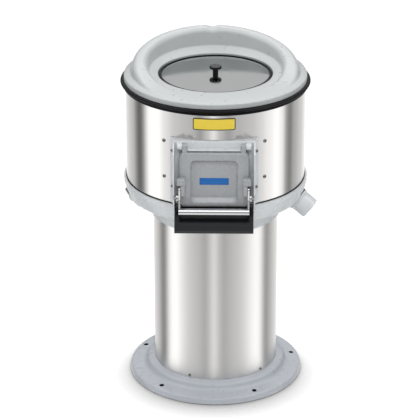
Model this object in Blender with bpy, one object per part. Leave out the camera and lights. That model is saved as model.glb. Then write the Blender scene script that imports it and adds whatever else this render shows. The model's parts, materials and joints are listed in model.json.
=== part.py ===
"""Potato peeler machine on a pedestal: drum, tub, top cover, discharge door, latch and drive.

Metres, +Z up. The origin is on the floor, on the machine's upright axis, and the discharge
door faces -Y. Lengths that point to the front are given as positive reaches and are turned
into -Y where a piece is placed.
"""
import math

import bmesh
import bpy
from mathutils import Vector

# General values
GAP = 0.0003                 # air left between two pieces that touch
RUNNING_GAP = 0.0004         # air round a pin that turns in its hole
OVERRUN = 0.003              # how far a cutter goes past what it cuts
ROUND = 32                   # sides of a large round
MEDIUM_ROUND = 16            # sides of a flange, pulley or motor
SMALL_ROUND = 12             # sides of a pin, boss or hole
FILLET_STEPS = 3
FINE_STEPS = 2               # for fillets of a few millimetres
EDGE_STEPS = 1               # for edges that are only broken
CORNER_STEPS = 4             # for wide corners and round ends

# Widths that the others follow
DRUM_RADIUS = 0.260
PEDESTAL_RADIUS = 0.182

# Base flange, a painted casting that is bolted to the floor
BASE_FLANGE_REACH = 0.0735   # rim outside the pedestal tube
BASE_RADIUS = PEDESTAL_RADIUS + BASE_FLANGE_REACH
BASE_RIM_HEIGHT = 0.018
BASE_RIM_ROUND = 0.006
BASE_FLANGE_RISE = 0.004     # flange's top climbs from the rim to the collar
BASE_FOOT_ROUND = 0.012
BASE_FOOT_SPREAD = 0.006     # collar's foot outside its shoulder
BASE_SHOULDER_ROUND = 0.010
BASE_COLLAR_HEIGHT = 0.044
BASE_COLLAR_FALL = 0.004     # collar's top falls from the tube to its shoulder
BASE_COLLAR_WALL = 0.0215
BASE_FLOOR_WALL = 0.008
SPIGOT_HEIGHT = 0.064
SPIGOT_WALL = 0.009
TUBE_SEAT_HEIGHT = 0.026
FLOOR_HOLE_RADIUS = 0.0055
FLOOR_HOLE_INSET = 0.021     # hole's middle inside the rim
FLOOR_HOLE_CIRCLE = BASE_RADIUS - FLOOR_HOLE_INSET
FLOOR_HOLE_COUNT = 5
FLOOR_HOLE_ANGLE = math.radians(12)

# Pedestal tube
PEDESTAL_WALL = 0.002
PEDESTAL_SHOWN = 0.474       # between the base collar and the tub collar
PEDESTAL_IN_TUB = 0.027      # how far the tube goes up into the tub casting

# Tub casting
TUB_PROUD = 0.007            # upper edge outside the drum's wall
TUB_RADIUS = DRUM_RADIUS + TUB_PROUD
TUB_DRAFT = 0.0095           # how far the band draws in from its lip to its lower edge
TUB_LOW_RADIUS = TUB_RADIUS - TUB_DRAFT
TUB_LIP_HEIGHT = 0.012
TUB_LIP_ROUND = 0.008
TUB_COLLAR_HEIGHT = 0.036
TUB_COLLAR_WALL = 0.007
TUB_UNDER_RISE = 0.024       # how far the underside climbs from the collar to the band
TUB_COVE_ROUND = 0.018
TUB_EDGE_ROUND = 0.016
TUB_BAND_HEIGHT = 0.052
TUB_WALL = 0.008
TUB_BOWL_ROUND = 0.020       # inside, between the slope and the band
TUB_SEAT = 0.0055            # upper edge's reach inside the drum's wall
TUB_FLOOR_RISE = 0.044       # top of the tub floor above the collar's bottom edge
TUB_FLOOR_WALL = 0.008
TUB_RING_WALL = 0.012        # locating ring inside the pedestal
TUB_RING_DROP = 0.026
FLOOR_DISC_SEAT = 0.008      # how far the floor disc lies on the locating ring
TUB_HUB_RADIUS = 0.050
TUB_HUB_RISE = 0.028

# Drum
DRUM_WALL = 0.0015
DRUM_HEIGHT = 0.2892
TUB_SEAT_RADIUS = DRUM_RADIUS - DRUM_WALL - TUB_SEAT
SEAM_THICKNESS = 0.003
SEAM_PROUD = 0.0008
LINER_WALL = 0.006
LINER_FOOT = 0.010           # liner's lower edge above the drum's lower edge
LINER_HEAD = 0.0172          # liner's upper edge below the drum's upper edge
LINER_HEIGHT = DRUM_HEIGHT - LINER_FOOT - LINER_HEAD

# Rim gasket on the drum's upper edge
RIM_SKIRT = 0.0158
RIM_PROUD = 0.0065           # skirt outside the drum's wall
RIM_BEAD_PROUD = 0.0135
RIM_BEAD_HEIGHT = 0.010
RIM_BEAD_ROUND = 0.004
RIM_NECK_PROUD = 0.004       # groove between skirt and bead
RIM_NECK_HEIGHT = 0.0018
RIM_LIP = 0.0033
RIM_LIP_REACH = 0.0115
RIM_ROUND = 0.002

# Top cover with its hood
COVER_PROUD = 0.0035         # cover's edge outside the drum's wall
COVER_RADIUS = DRUM_RADIUS + COVER_PROUD
COVER_RISE = 0.0153          # opening rim above the cover's lower edge
COVER_WALL = 0.005
COVER_EDGE_HEIGHT = 0.014
COVER_EDGE_ROUND = 0.004
COVER_RING_WIDTH = 0.095     # from the opening to the drum's wall
COVER_OPENING_RADIUS = DRUM_RADIUS - COVER_RING_WIDTH
COVER_RIM_ROUND = 0.0035
COVER_LEDGE_REACH = 0.014
COVER_LEDGE_RADIUS = COVER_OPENING_RADIUS - COVER_LEDGE_REACH
COVER_LEDGE_DROP = 0.012
COVER_LEDGE_WALL = 0.003
COVER_SKIRT_INSET = 0.0125   # inside the drum's wall
COVER_SKIRT_RADIUS = DRUM_RADIUS - COVER_SKIRT_INSET
COVER_SKIRT_WALL = 0.004
COVER_SKIRT_DROP = 0.012
HOOD_HEIGHT = 0.068
HOOD_CREST_INSET = 0.0465    # crest's middle inside the cover's edge
HOOD_CREST_RADIUS = COVER_RADIUS - HOOD_CREST_INSET
HOOD_CREST_WIDTH = 0.038
HOOD_FOOT_INSET = 0.0735
HOOD_FOOT_RADIUS = COVER_RADIUS - HOOD_FOOT_INSET
HOOD_FOOT_RISE = 0.0155
HOOD_FOOT_ROUND = 0.007
HOOD_OUTER_SPREAD = 0.008    # hood's outer foot outside its crest
HOOD_OUTER_RISE = 0.014
HOOD_ANGLE = math.radians(98)
HOOD_SPREAD = math.radians(125)
HOOD_FADE = 0.12
NOTCH_WIDTH = math.radians(4)
NOTCH_DEPTH = 0.005
NOTCH_ANGLE = math.radians(93)

# Inner lid, its seal and its knob
LID_WALL = 0.0015
LID_EDGE_HEIGHT = 0.0045
LID_EDGE_WALL = 0.002
SEAL_WIDTH = 0.008
SEAL_FOOT = 0.0024
SEAL_FOOT_REACH = 0.003
SEAL_HEIGHT = 0.0085
LID_CLEARANCE = 0.0012
KNOB_RADIUS = 0.0175
KNOB_STEM_RADIUS = 0.008
KNOB_HEIGHT = 0.024
KNOB_CAP_HEIGHT = 0.009
KNOB_CAP_ROUND = 0.003

# Door frame, screwed to the drum
FRAME_HALF_WIDTH = 0.1245
FRAME_LIFT = 0.001           # frame's lower edge above the drum's lower edge
FRAME_HEIGHT = 0.1985
FRAME_FLANGE_WALL = 0.004
FRAME_FACE_PROUD = 0.0065    # flat door seat in front of the drum
FRAME_FACE_ROUND = 0.004
CHEEK_INNER = 0.1113
CHEEK_WALL = 0.0035
CHEEK_REACH = 0.0375         # cheek's front edge ahead of the door seat
CHEEK_TOP_DROP = 0.026
CHEEK_FOOT_DROP = 0.004
OPENING_HALF_WIDTH = 0.086
OPENING_BOTTOM_RISE = 0.019  # above the frame's lower edge
OPENING_HEIGHT = 0.1365
OPENING_ROUND = 0.010
FRAME_ARC_STEPS = 16
FRAME_CHEEK_PROUD = 0.0004   # cheek's outer face beside the block's
LEDGE_HALF_WIDTH = 0.0747
LEDGE_REACH = 0.0145
LEDGE_WALL = 0.0055
LEDGE_DROP = 0.0135          # ledge's underside below the hinge axis

# Hinge at the door's top
HINGE_DROP = 0.011           # axis below the frame's top edge
HINGE_REACH = 0.0105         # axis ahead of the door seat
HINGE_PIN_RADIUS = 0.004
LUG_RADIUS = 0.009
LUG_WIDTH = 0.0136
LUG_SIDE_GAP = 0.0005
BOSS_WIDTH = 0.0147
BOSS_RADIUS = 0.0098

# Discharge door
DOOR_HALF_WIDTH = 0.0985
DOOR_TOP_DROP = 0.016        # door's top edge below the hinge axis
DOOR_HEIGHT = 0.161
DOOR_WALL = 0.0207
DOOR_ROUND = 0.016
DOOR_EDGE_ROUND = 0.005
DOOR_SEAL_WALL = 0.0022
DOOR_SEAL_INSET = 0.0035
POCKET_HALF_WIDTH = 0.0665
POCKET_TOP_INSET = 0.022
POCKET_HEIGHT = 0.127
POCKET_DEPTH = 0.012
POCKET_DRAFT = 0.005
POCKET_FOOT_DRAFT = 0.013
POCKET_ROUND = 0.014
POCKET_AIR = 0.001           # pocket cutter's overrun ahead of the door's face
PLUG_CLEARANCE = 0.004       # air between the door's plug and the opening
PLUG_FACE_PROUD = 0.003      # plug's inner face inside the drum's wall

# Latch handle with its arms, pins and rollers
BRACKET_INNER = 0.0805
BRACKET_WIDTH = 0.0135
BRACKET_FOOT_DROP = 0.019    # bracket's lower end below the pivot
BRACKET_PROUD = 0.017
BRACKET_ROUND = 0.0055
HEAD_OUTER = 0.104           # head block, which stops the handle when it is lifted
HEAD_RISE = 0.0145           # head's underside above the pivot
HEAD_HEIGHT = 0.020
HEAD_PROUD = 0.020
HEAD_ROUND = 0.004
PIVOT_DROP = 0.122           # below the hinge axis
PIVOT_PROUD = 0.0095         # ahead of the door's face
PIVOT_PIN_RADIUS = 0.0035
PIVOT_PIN_DEPTH = 0.008
ARM_WALL = 0.0048
ARM_WIDTH = 0.016
ARM_ROUND = 0.0072
ARM_FOOT_HALF = 0.006        # half of the arm's width at the bar
BAR_RADIUS = 0.0102
BAR_DROP = 0.061             # below the pivot
BAR_REACH = 0.014            # ahead of the pivot
ROLLER_RADIUS = 0.012
ROLLER_WIDTH = 0.0064
ROLLER_DROP = 0.025
ROLLER_BACK = 0.001          # behind the pivot
ROLLER_PIN_RADIUS = 0.004
ROLLER_PIN_OUT = 0.0135      # pin end beyond the arm's outer face
NOTCH_AIR = 0.0012
NOTCH_FLARE_UP = 0.003
NOTCH_FLARE_DOWN = 0.008

# Chute tray under the door
TRAY_HALF_WIDTH = 0.1110
TRAY_WALL = 0.0022
TRAY_REACH = 0.068
TRAY_FALL = 0.050
TRAY_START_RISE = 0.003      # rear edge of the tray above the frame's lower edge
TRAY_UPSTAND = 0.0065
TRAY_LIP_DROP = 0.005
TRAY_SIDE_HEIGHT = 0.017
TRAY_SIDE_LIP_HEIGHT = 0.013

# Waste outlet on the right and blanking plate on the left
OUTLET_AZIMUTH = math.radians(12)    # turned to the front from the machine's side
OUTLET_SLOPE = math.radians(38)
OUTLET_JOINT_INSET = 0.024           # joint face's middle inside the band
OUTLET_JOINT_RADIUS = TUB_RADIUS - OUTLET_JOINT_INSET
OUTLET_JOINT_DROP = 0.0044           # and below the band's lower edge
SPOT_FACE_MARGIN = 0.002
SPOT_FACE_DEPTH = 0.001              # casting's flat round the boss, below the joint face
OUTLET_FLANGE_RADIUS = 0.0345
OUTLET_FLANGE_WALL = 0.005
OUTLET_CONE_HEIGHT = 0.003
OUTLET_SPIGOT_RADIUS = 0.0315
OUTLET_LENGTH = 0.050
OUTLET_BORE_RADIUS = 0.027
OUTLET_CONE_ROUND = 0.002
OUTLET_END_ROUND = 0.0015
OUTLET_GASKET_WALL = 0.002
PAD_DEPTH = 0.026
PAD_EDGE = 0.004                     # straight edge of the boss under the joint face
PAD_ROOT_RADIUS = 0.030              # boss at its root
PAD_TRIM_MARGIN = 0.002              # boss ends this far inside the wall's inner face
OUTLET_REACH_IN = 0.060              # how far the bore cutter starts inside the tub
BLANK_WALL = 0.004
BLANK_BOSS_RADIUS = 0.009
BLANK_BOSS_HEIGHT = 0.006

# Water inlet at the rear
INLET_DROP = 0.055           # axis below the drum's upper edge
INLET_RADIUS = 0.010
INLET_BORE_RADIUS = 0.007
INLET_NUT_RADIUS = 0.017
INLET_NUT_WALL = 0.008
INLET_TAIL = 0.034
INLET_NOZZLE = 0.020
NUT_SIDES = 6
INLET_NUT_ARC = 0.0022       # room for the drum wall's curve behind the nut
NUT_MARGIN = 0.001           # room round the back nut in the liner

# Peeling plate
PLATE_CLEARANCE = 0.006      # to the liner
PLATE_WALL = 0.008
PLATE_SINK = 0.004           # plate's underside below the tub's upper edge
PLATE_WAVE = 0.011
PLATE_WAVES = 3
PLATE_HUB_RADIUS = 0.030
PLATE_HUB_DROP = 0.012
PLATE_RINGS = 5
PLATE_STEPS = 32
VANE_WALL = 0.006
VANE_HEIGHT = 0.014
VANE_COUNT = 3
VANE_ANGLE = math.radians(60)
VANE_INNER_SHARE = 0.35
VANE_OUTER_SHARE = 0.94

# Spindle, bearings and housing
SHAFT_RADIUS = 0.0125
SHAFT_END_DROP = 0.008       # shaft's lower end below the driven pulley
BEARING_RADIUS = 0.026
BEARING_HEIGHT = 0.015
HOUSING_WALL = 0.007
HOUSING_FLANGE_RADIUS = 0.062
HOUSING_FLANGE_WALL = 0.008
HOUSING_DEPTH = 0.078
HOUSING_LIP = 0.004
SHAFT_SEAL_HEIGHT = 0.010
CAP_RADIUS = 0.019
CAP_HEIGHT = 0.010
CAP_ROUND = 0.004

# Belt drive and motor, hung under the tub
MOTOR_INSET = 0.070          # motor's axis inside the pedestal's wall
DRIVE_CENTRES = PEDESTAL_RADIUS - MOTOR_INSET
MOTOR_PULLEY_RADIUS = 0.022
PULLEY_AIR = 0.020           # between the two pulleys' rims
DRIVEN_RADIUS = DRIVE_CENTRES - MOTOR_PULLEY_RADIUS - PULLEY_AIR
PULLEY_HEIGHT = 0.020
PULLEY_RIM = 0.002
PULLEY_RIM_WALL = 0.002
PULLEY_DROP = 0.008          # driven pulley's top below the bearing housing
BELT_WALL = 0.004
BELT_HEIGHT = 0.0145
BELT_LARGE_STEPS = 20
BELT_SMALL_STEPS = 8
MOTOR_SHAFT_RADIUS = 0.0095
SHAFT_AIR = 0.0006           # air round the motor's shaft
MOTOR_RADIUS = 0.058
MOTOR_LENGTH = 0.185
MOTOR_FLANGE_RADIUS = 0.062
MOTOR_FLANGE_WALL = 0.008
MOTOR_FAN_COVER = 0.038
MOTOR_BORE_DEPTH = 0.060
FIN_COUNT = 12
FIN_DEPTH = 0.004
TERMINAL_WIDTH = 0.052
TERMINAL_HEIGHT = 0.060
TERMINAL_PROUD = 0.020
MOTOR_PLATE_AIR = 0.002      # to the pedestal tube
MOTOR_PLATE_RADIUS = PEDESTAL_RADIUS - PEDESTAL_WALL - MOTOR_PLATE_AIR
MOTOR_PLATE_WALL = 0.006
MOTOR_PLATE_DROP = 0.014     # below the pulleys
MOTOR_HOLE_RADIUS = 0.030
PILLAR_RADIUS = 0.007
PILLAR_COUNT = 4
PILLAR_INSET = 0.002         # pillar's middle outside the ring's bore edge
PILLAR_ANGLE = math.radians(50)

# Cable gland at the rear of the pedestal
GLAND_HEIGHT = 0.110
GLAND_RADIUS = 0.011
GLAND_NUT_RADIUS = 0.014
GLAND_NUT_WALL = 0.007
GLAND_TAIL = 0.014
GLAND_INSIDE = 0.010
GLAND_BORE_RADIUS = 0.0045

# Heights, from the floor up
TUBE_BOTTOM = TUBE_SEAT_HEIGHT + GAP
TUB_BOTTOM = BASE_COLLAR_HEIGHT + PEDESTAL_SHOWN
COVE_HEIGHT = TUB_BOTTOM + TUB_COLLAR_HEIGHT
BAND_BOTTOM = COVE_HEIGHT + TUB_UNDER_RISE
TUB_TOP = BAND_BOTTOM + TUB_BAND_HEIGHT
TUBE_TOP = TUB_BOTTOM + PEDESTAL_IN_TUB
FLOOR_TOP = TUB_BOTTOM + TUB_FLOOR_RISE
FLOOR_UNDER = FLOOR_TOP - TUB_FLOOR_WALL
SEAM_BOTTOM = TUB_TOP + GAP
SEAM_TOP = SEAM_BOTTOM + SEAM_THICKNESS
DRUM_BOTTOM = SEAM_TOP + GAP
DRUM_TOP = DRUM_BOTTOM + DRUM_HEIGHT
RIM_TOP = DRUM_TOP + GAP + RIM_LIP
RIM_BOTTOM = DRUM_TOP - RIM_SKIRT
COVER_BOTTOM = RIM_TOP + GAP
COVER_RIM = COVER_BOTTOM + COVER_RISE
COVER_LEDGE_TOP = COVER_RIM - COVER_LEDGE_DROP
SEAL_BOTTOM = COVER_LEDGE_TOP + GAP
LID_BOTTOM = SEAL_BOTTOM + SEAL_FOOT + GAP
LID_TOP = LID_BOTTOM + LID_EDGE_HEIGHT
FRAME_BOTTOM = DRUM_BOTTOM + FRAME_LIFT
FRAME_TOP = FRAME_BOTTOM + FRAME_HEIGHT
HINGE_HEIGHT = FRAME_TOP - HINGE_DROP
DOOR_TOP = HINGE_HEIGHT - DOOR_TOP_DROP
DOOR_BOTTOM = DOOR_TOP - DOOR_HEIGHT
OPENING_BOTTOM = FRAME_BOTTOM + OPENING_BOTTOM_RISE
OPENING_TOP = OPENING_BOTTOM + OPENING_HEIGHT
PIVOT_HEIGHT = HINGE_HEIGHT - PIVOT_DROP
ROLLER_AXIS_HEIGHT = PIVOT_HEIGHT - ROLLER_DROP
BAR_HEIGHT = PIVOT_HEIGHT - BAR_DROP
POCKET_TOP = DOOR_TOP - POCKET_TOP_INSET
POCKET_BOTTOM = POCKET_TOP - POCKET_HEIGHT
PLATE_BOTTOM = TUB_TOP - PLATE_SINK
PLATE_TOP = PLATE_BOTTOM + PLATE_WALL
HUB_TOP = FLOOR_TOP + TUB_HUB_RISE
HOUSING_TOP = HUB_TOP - HOUSING_LIP - SHAFT_SEAL_HEIGHT - GAP
HOUSING_BOTTOM = HOUSING_TOP - HOUSING_DEPTH
DRIVEN_TOP = HOUSING_BOTTOM - PULLEY_DROP
DRIVEN_BOTTOM = DRIVEN_TOP - PULLEY_HEIGHT
SHAFT_BOTTOM = DRIVEN_BOTTOM - SHAFT_END_DROP
MOTOR_PLATE_TOP = DRIVEN_BOTTOM - MOTOR_PLATE_DROP
MOTOR_TOP = MOTOR_PLATE_TOP - MOTOR_PLATE_WALL - GAP
PILLAR_TOP = TUB_BOTTOM + PEDESTAL_IN_TUB - TUB_RING_DROP - GAP
RING_INNER = PEDESTAL_RADIUS - PEDESTAL_WALL - GAP - TUB_RING_WALL
FLOOR_DISC_RADIUS = RING_INNER + FLOOR_DISC_SEAT

# Reaches to the front, from the upright axis
FACE_REACH = DRUM_RADIUS + FRAME_FACE_PROUD
HINGE_AXIS_REACH = FACE_REACH + HINGE_REACH
SEAL_FACE_REACH = FACE_REACH + GAP
DOOR_BACK_REACH = SEAL_FACE_REACH + DOOR_SEAL_WALL + GAP
DOOR_FACE_REACH = DOOR_BACK_REACH + DOOR_WALL
CHEEK_FRONT_REACH = FACE_REACH + CHEEK_REACH
PIVOT_REACH = DOOR_FACE_REACH + PIVOT_PROUD
ROLLER_REACH = PIVOT_REACH - ROLLER_BACK
BAR_AXIS_REACH = PIVOT_REACH + BAR_REACH
TRAY_START_REACH = FACE_REACH + GAP
LINER_OUTER = DRUM_RADIUS - DRUM_WALL - GAP
LINER_INNER = LINER_OUTER - LINER_WALL
PLATE_RADIUS = LINER_INNER - PLATE_CLEARANCE
ARM_INNER = BRACKET_INNER + BRACKET_WIDTH + RUNNING_GAP
ARM_OUTER = ARM_INNER + ARM_WALL
PLUG_HALF_WIDTH = OPENING_HALF_WIDTH - PLUG_CLEARANCE
BOSS_INNER = LEDGE_HALF_WIDTH + LUG_SIDE_GAP + LUG_WIDTH + LUG_SIDE_GAP
BOSS_OUTER = BOSS_INNER + BOSS_WIDTH

FORWARD = Vector((0, -1, 0))
UP = Vector((0, 0, 1))
SIDES = {"left": -1, "right": 1}


# Materials, each colour in linear light
def material(name, colour, roughness, metallic):
    """A Principled material with one colour."""
    made = bpy.data.materials.get(name)
    if made:
        return made
    made = bpy.data.materials.new(name)
    made.use_nodes = True
    shader = made.node_tree.nodes["Principled BSDF"]
    shader.inputs["Base Color"].default_value = (*colour, 1)
    shader.inputs["Roughness"].default_value = roughness
    shader.inputs["Metallic"].default_value = metallic
    made.diffuse_color = (*colour, 1)
    return made


def stainless():
    return material("brushed_stainless", (0.62, 0.61, 0.59), 0.30, 1.0)


def polished_steel():
    return material("polished_steel", (0.72, 0.72, 0.72), 0.12, 1.0)


def grey_paint():
    return material("grey_painted_casting", (0.56, 0.59, 0.60), 0.40, 0.0)


def door_paint():
    return material("dark_grey_painted_casting", (0.27, 0.30, 0.33), 0.42, 0.0)


def base_paint():
    return material("blue_grey_painted_casting", (0.42, 0.45, 0.49), 0.42, 0.0)


def grey_plastic():
    return material("grey_moulded_plastic", (0.57, 0.60, 0.59), 0.38, 0.0)


def black_rubber():
    return material("black_rubber", (0.012, 0.012, 0.013), 0.55, 0.0)


def black_plastic():
    return material("black_plastic", (0.010, 0.011, 0.012), 0.18, 0.0)


def abrasive():
    return material("silicon_carbide_grit", (0.045, 0.042, 0.040), 0.95, 0.0)


def cast_iron():
    return material("cast_iron", (0.12, 0.12, 0.12), 0.60, 0.8)


def brass():
    return material("brass", (0.62, 0.44, 0.18), 0.30, 1.0)


# Mesh helpers
def as_object(name, mesh_builder, finish, smooth_angle=math.radians(40)):
    """Turn a finished bmesh into a named object with its material."""
    bmesh.ops.recalc_face_normals(mesh_builder, faces=mesh_builder.faces[:])
    mesh = bpy.data.meshes.new(name)
    mesh_builder.to_mesh(mesh)
    mesh_builder.free()
    mesh.shade_smooth()
    mesh.set_sharp_from_angle(angle=smooth_angle)
    made = bpy.data.objects.new(name, mesh)
    bpy.context.scene.collection.objects.link(made)
    mesh.materials.append(finish)
    return made


def fillet(points, radii, steps=FILLET_STEPS):
    """Round the corners of a closed outline; radii holds one radius for each corner."""
    rounded = []
    for index, corner in enumerate(points):
        radius = radii[index] if isinstance(radii, (list, tuple)) else radii
        here = Vector(corner)
        before = Vector(points[index - 1]) - here
        after = Vector(points[(index + 1) % len(points)]) - here
        if radius <= 0:
            rounded.append(tuple(here))
            continue
        half = before.angle(after) / 2
        most = min(before.length, after.length) / 2
        cut = min(radius / math.tan(half), most)
        radius = cut * math.tan(half)
        middle = here + (before.normalized() + after.normalized()).normalized() * (radius / math.sin(half))
        start = here + before.normalized() * cut - middle
        turn = start.angle_signed(here + after.normalized() * cut - middle)
        for step in range(steps + 1):
            angle = -turn * step / steps
            c, s = math.cos(angle), math.sin(angle)
            rounded.append((middle.x + start.x * c - start.y * s, middle.y + start.x * s + start.y * c))
    return rounded


def lathe(name, profile, finish, sides=ROUND, centre=(0, 0, 0), axis=UP):
    """Turn a closed profile of (radius, height) points round an axis through centre."""
    turned = bmesh.new()
    rings = []
    for radius, height in profile:
        count = 1 if radius == 0 else sides
        rings.append([turned.verts.new((
            radius * math.cos(math.tau * k / sides),
            radius * math.sin(math.tau * k / sides),
            height,
        )) for k in range(count)])
    for ring, after in zip(rings, rings[1:] + rings[:1]):
        if len(ring) == 1 and len(after) == 1:
            continue
        for k in range(sides):
            corners = [ring[k % len(ring)], ring[(k + 1) % len(ring)],
                       after[(k + 1) % len(after)], after[k % len(after)]]
            turned.faces.new(list(dict.fromkeys(corners)))
    turn = UP.rotation_difference(Vector(axis).normalized()).to_matrix().to_4x4()
    bmesh.ops.transform(turned, matrix=turn, verts=turned.verts[:])
    bmesh.ops.translate(turned, vec=Vector(centre), verts=turned.verts[:])
    return as_object(name, turned, finish)


def prism(name, outline, along, start, end, finish):
    """Extrude a closed outline. Along X the points are (y, z), along Y (x, z), along Z (x, y)."""
    places = {
        "X": lambda a, b, c: (c, a, b),
        "Y": lambda a, b, c: (a, c, b),
        "Z": lambda a, b, c: (a, b, c),
    }
    place = places[along]
    solid = bmesh.new()
    lower = [solid.verts.new(place(a, b, start)) for a, b in outline]
    upper = [solid.verts.new(place(a, b, end)) for a, b in outline]
    solid.faces.new(lower)
    solid.faces.new(upper[::-1])
    for k in range(len(outline)):
        after = (k + 1) % len(outline)
        solid.faces.new((lower[k], lower[after], upper[after], upper[k]))
    return as_object(name, solid, finish)


def box(name, low, high, finish):
    """A plain block between two corners."""
    outline = [(low[0], low[1]), (high[0], low[1]), (high[0], high[1]), (low[0], high[1])]
    return prism(name, outline, "Z", low[2], high[2], finish)


def rectangle(half_width, low, high):
    return [(-half_width, low), (half_width, low), (half_width, high), (-half_width, high)]


def circle(radius, sides, centre=0):
    """Round outline; centre is its place along the outline's second direction."""
    turns = [math.tau * k / sides for k in range(sides)]
    return [(radius * math.cos(turn), centre + radius * math.sin(turn)) for turn in turns]


def rod(name, start, end, radius, finish, sides=SMALL_ROUND):
    """A round bar between two points."""
    start, end = Vector(start), Vector(end)
    length = (end - start).length
    profile = [(0, 0), (radius, 0), (radius, length), (0, length)]
    return lathe(name, profile, finish, sides, start, end - start)


def loft(name, outlines, finish):
    """Join outlines of 3-D points, each with as many points as the next, and cap both ends."""
    solid = bmesh.new()
    rings = [[solid.verts.new(point) for point in outline] for outline in outlines]
    for ring, after in zip(rings, rings[1:]):
        for k in range(len(ring)):
            beside = (k + 1) % len(ring)
            solid.faces.new((ring[k], ring[beside], after[beside], after[k]))
    solid.faces.new(rings[0])
    solid.faces.new(rings[-1][::-1])
    return as_object(name, solid, finish)


def combine(target, other, operation):
    """Add, cut or keep with another object, which is hidden as a cutter."""
    modifier = target.modifiers.new(operation.lower(), "BOOLEAN")
    modifier.operation = operation
    modifier.object = other
    modifier.solver = "EXACT"
    other.hide_render = True
    other.display_type = "WIRE"
    return target


def add(target, other):
    return combine(target, other, "UNION")


def cut(target, other):
    return combine(target, other, "DIFFERENCE")


def axis_empty(name, place, parent=None):
    """An empty on a joint's axis. Pieces hang on it with their own places kept."""
    made = bpy.data.objects.new(name, None)
    bpy.context.scene.collection.objects.link(made)
    made.location = Vector(place)
    if parent:
        made.parent = parent[0]
        made.location = Vector(place) - parent[1]
    return made, Vector(place)


def hang(piece, joint):
    """Parent a piece to a joint's empty and keep it where it is."""
    piece.parent = joint[0]
    piece.location = -joint[1]
    return piece


def front(x, reach, height):
    """A point given by its reach to the front."""
    return (x, -reach, height)


# Base and pedestal
def base_flange():
    collar_inner = PEDESTAL_RADIUS + GAP
    collar_outer = collar_inner + BASE_COLLAR_WALL
    spigot_outer = PEDESTAL_RADIUS - PEDESTAL_WALL - GAP
    spigot_inner = spigot_outer - SPIGOT_WALL
    profile = fillet(
        [
            (0, 0), (BASE_RADIUS, 0), (BASE_RADIUS, BASE_RIM_HEIGHT),
            (collar_outer + BASE_FOOT_SPREAD, BASE_RIM_HEIGHT + BASE_FLANGE_RISE),
            (collar_outer, BASE_COLLAR_HEIGHT - BASE_COLLAR_FALL), (collar_inner, BASE_COLLAR_HEIGHT),
            (collar_inner, TUBE_SEAT_HEIGHT), (spigot_outer, TUBE_SEAT_HEIGHT),
            (spigot_outer, SPIGOT_HEIGHT), (spigot_inner, SPIGOT_HEIGHT),
            (spigot_inner, BASE_FLOOR_WALL), (0, BASE_FLOOR_WALL),
        ],
        [0, 0, BASE_RIM_ROUND, BASE_FOOT_ROUND, BASE_SHOULDER_ROUND, 0, 0, 0, 0, 0, 0, 0],
        FINE_STEPS,
    )
    flange = lathe("base_flange", profile, base_paint())
    for k in range(FLOOR_HOLE_COUNT):
        angle = FLOOR_HOLE_ANGLE + math.tau * k / FLOOR_HOLE_COUNT
        x, y = FLOOR_HOLE_CIRCLE * math.cos(angle), FLOOR_HOLE_CIRCLE * math.sin(angle)
        hole = rod("floor_hole_cut", (x, y, -OVERRUN), (x, y, BASE_COLLAR_HEIGHT),
                   FLOOR_HOLE_RADIUS, base_paint(), SMALL_ROUND)
        cut(flange, hole)
    return flange


def pedestal_tube():
    inner = PEDESTAL_RADIUS - PEDESTAL_WALL
    profile = [(inner, TUBE_BOTTOM), (PEDESTAL_RADIUS, TUBE_BOTTOM),
               (PEDESTAL_RADIUS, TUBE_TOP), (inner, TUBE_TOP)]
    tube = lathe("pedestal_tube", profile, stainless())
    hole = rod("gland_hole_cut", (0, inner - OVERRUN, GLAND_HEIGHT),
               (0, PEDESTAL_RADIUS + OVERRUN, GLAND_HEIGHT), GLAND_RADIUS + GAP, stainless())
    return cut(tube, hole)


def cable_gland():
    """Bushing with its nut in the pedestal's rear wall, for the supply lead."""
    outer = PEDESTAL_RADIUS + GAP
    inner = PEDESTAL_RADIUS - PEDESTAL_WALL - GLAND_INSIDE
    start = inner
    profile = [
        (GLAND_BORE_RADIUS, 0), (GLAND_RADIUS, 0), (GLAND_RADIUS, outer - start),
        (GLAND_NUT_RADIUS, outer - start), (GLAND_NUT_RADIUS, outer - start + GLAND_NUT_WALL),
        (GLAND_RADIUS, outer - start + GLAND_NUT_WALL),
        (GLAND_BORE_RADIUS + PEDESTAL_WALL, outer - start + GLAND_TAIL),
        (GLAND_BORE_RADIUS, outer - start + GLAND_TAIL),
    ]
    return lathe("cable_gland", profile, black_plastic(), SMALL_ROUND, (0, start, GLAND_HEIGHT), -FORWARD)


# Tub casting, its seam gasket and what is bolted to its sides
def side_frame(side):
    """Middle of the outlet's joint face and its outward direction, on one side."""
    level = Vector((side * math.cos(OUTLET_AZIMUTH), -math.sin(OUTLET_AZIMUTH), 0))
    middle = level * OUTLET_JOINT_RADIUS + UP * (BAND_BOTTOM - OUTLET_JOINT_DROP)
    outward = level * math.cos(OUTLET_SLOPE) - UP * math.sin(OUTLET_SLOPE)
    return middle, outward


def outlet_pad(side):
    """Cast boss under an outlet's joint face, trimmed so that it ends inside the tub's wall."""
    middle, outward = side_frame(side)
    profile = [(0, -PAD_DEPTH), (PAD_ROOT_RADIUS, -PAD_DEPTH), (OUTLET_FLANGE_RADIUS, -PAD_EDGE),
               (OUTLET_FLANGE_RADIUS, -GAP), (0, -GAP)]
    pad = lathe("outlet_pad", profile, grey_paint(), MEDIUM_ROUND, middle, outward)
    collar = PEDESTAL_RADIUS + GAP + TUB_COLLAR_WALL
    inset = TUB_WALL - PAD_TRIM_MARGIN
    hollow = fillet(
        [(0, TUB_TOP), (0, COVE_HEIGHT + inset), (collar - inset, COVE_HEIGHT + inset),
         (TUB_LOW_RADIUS - inset, BAND_BOTTOM + inset), (TUB_SEAT_RADIUS + PAD_TRIM_MARGIN, TUB_TOP)],
        [0, 0, 0, TUB_BOWL_ROUND, 0],
    )
    return cut(pad, lathe("pad_trim_cut", hollow, grey_paint()))


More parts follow.
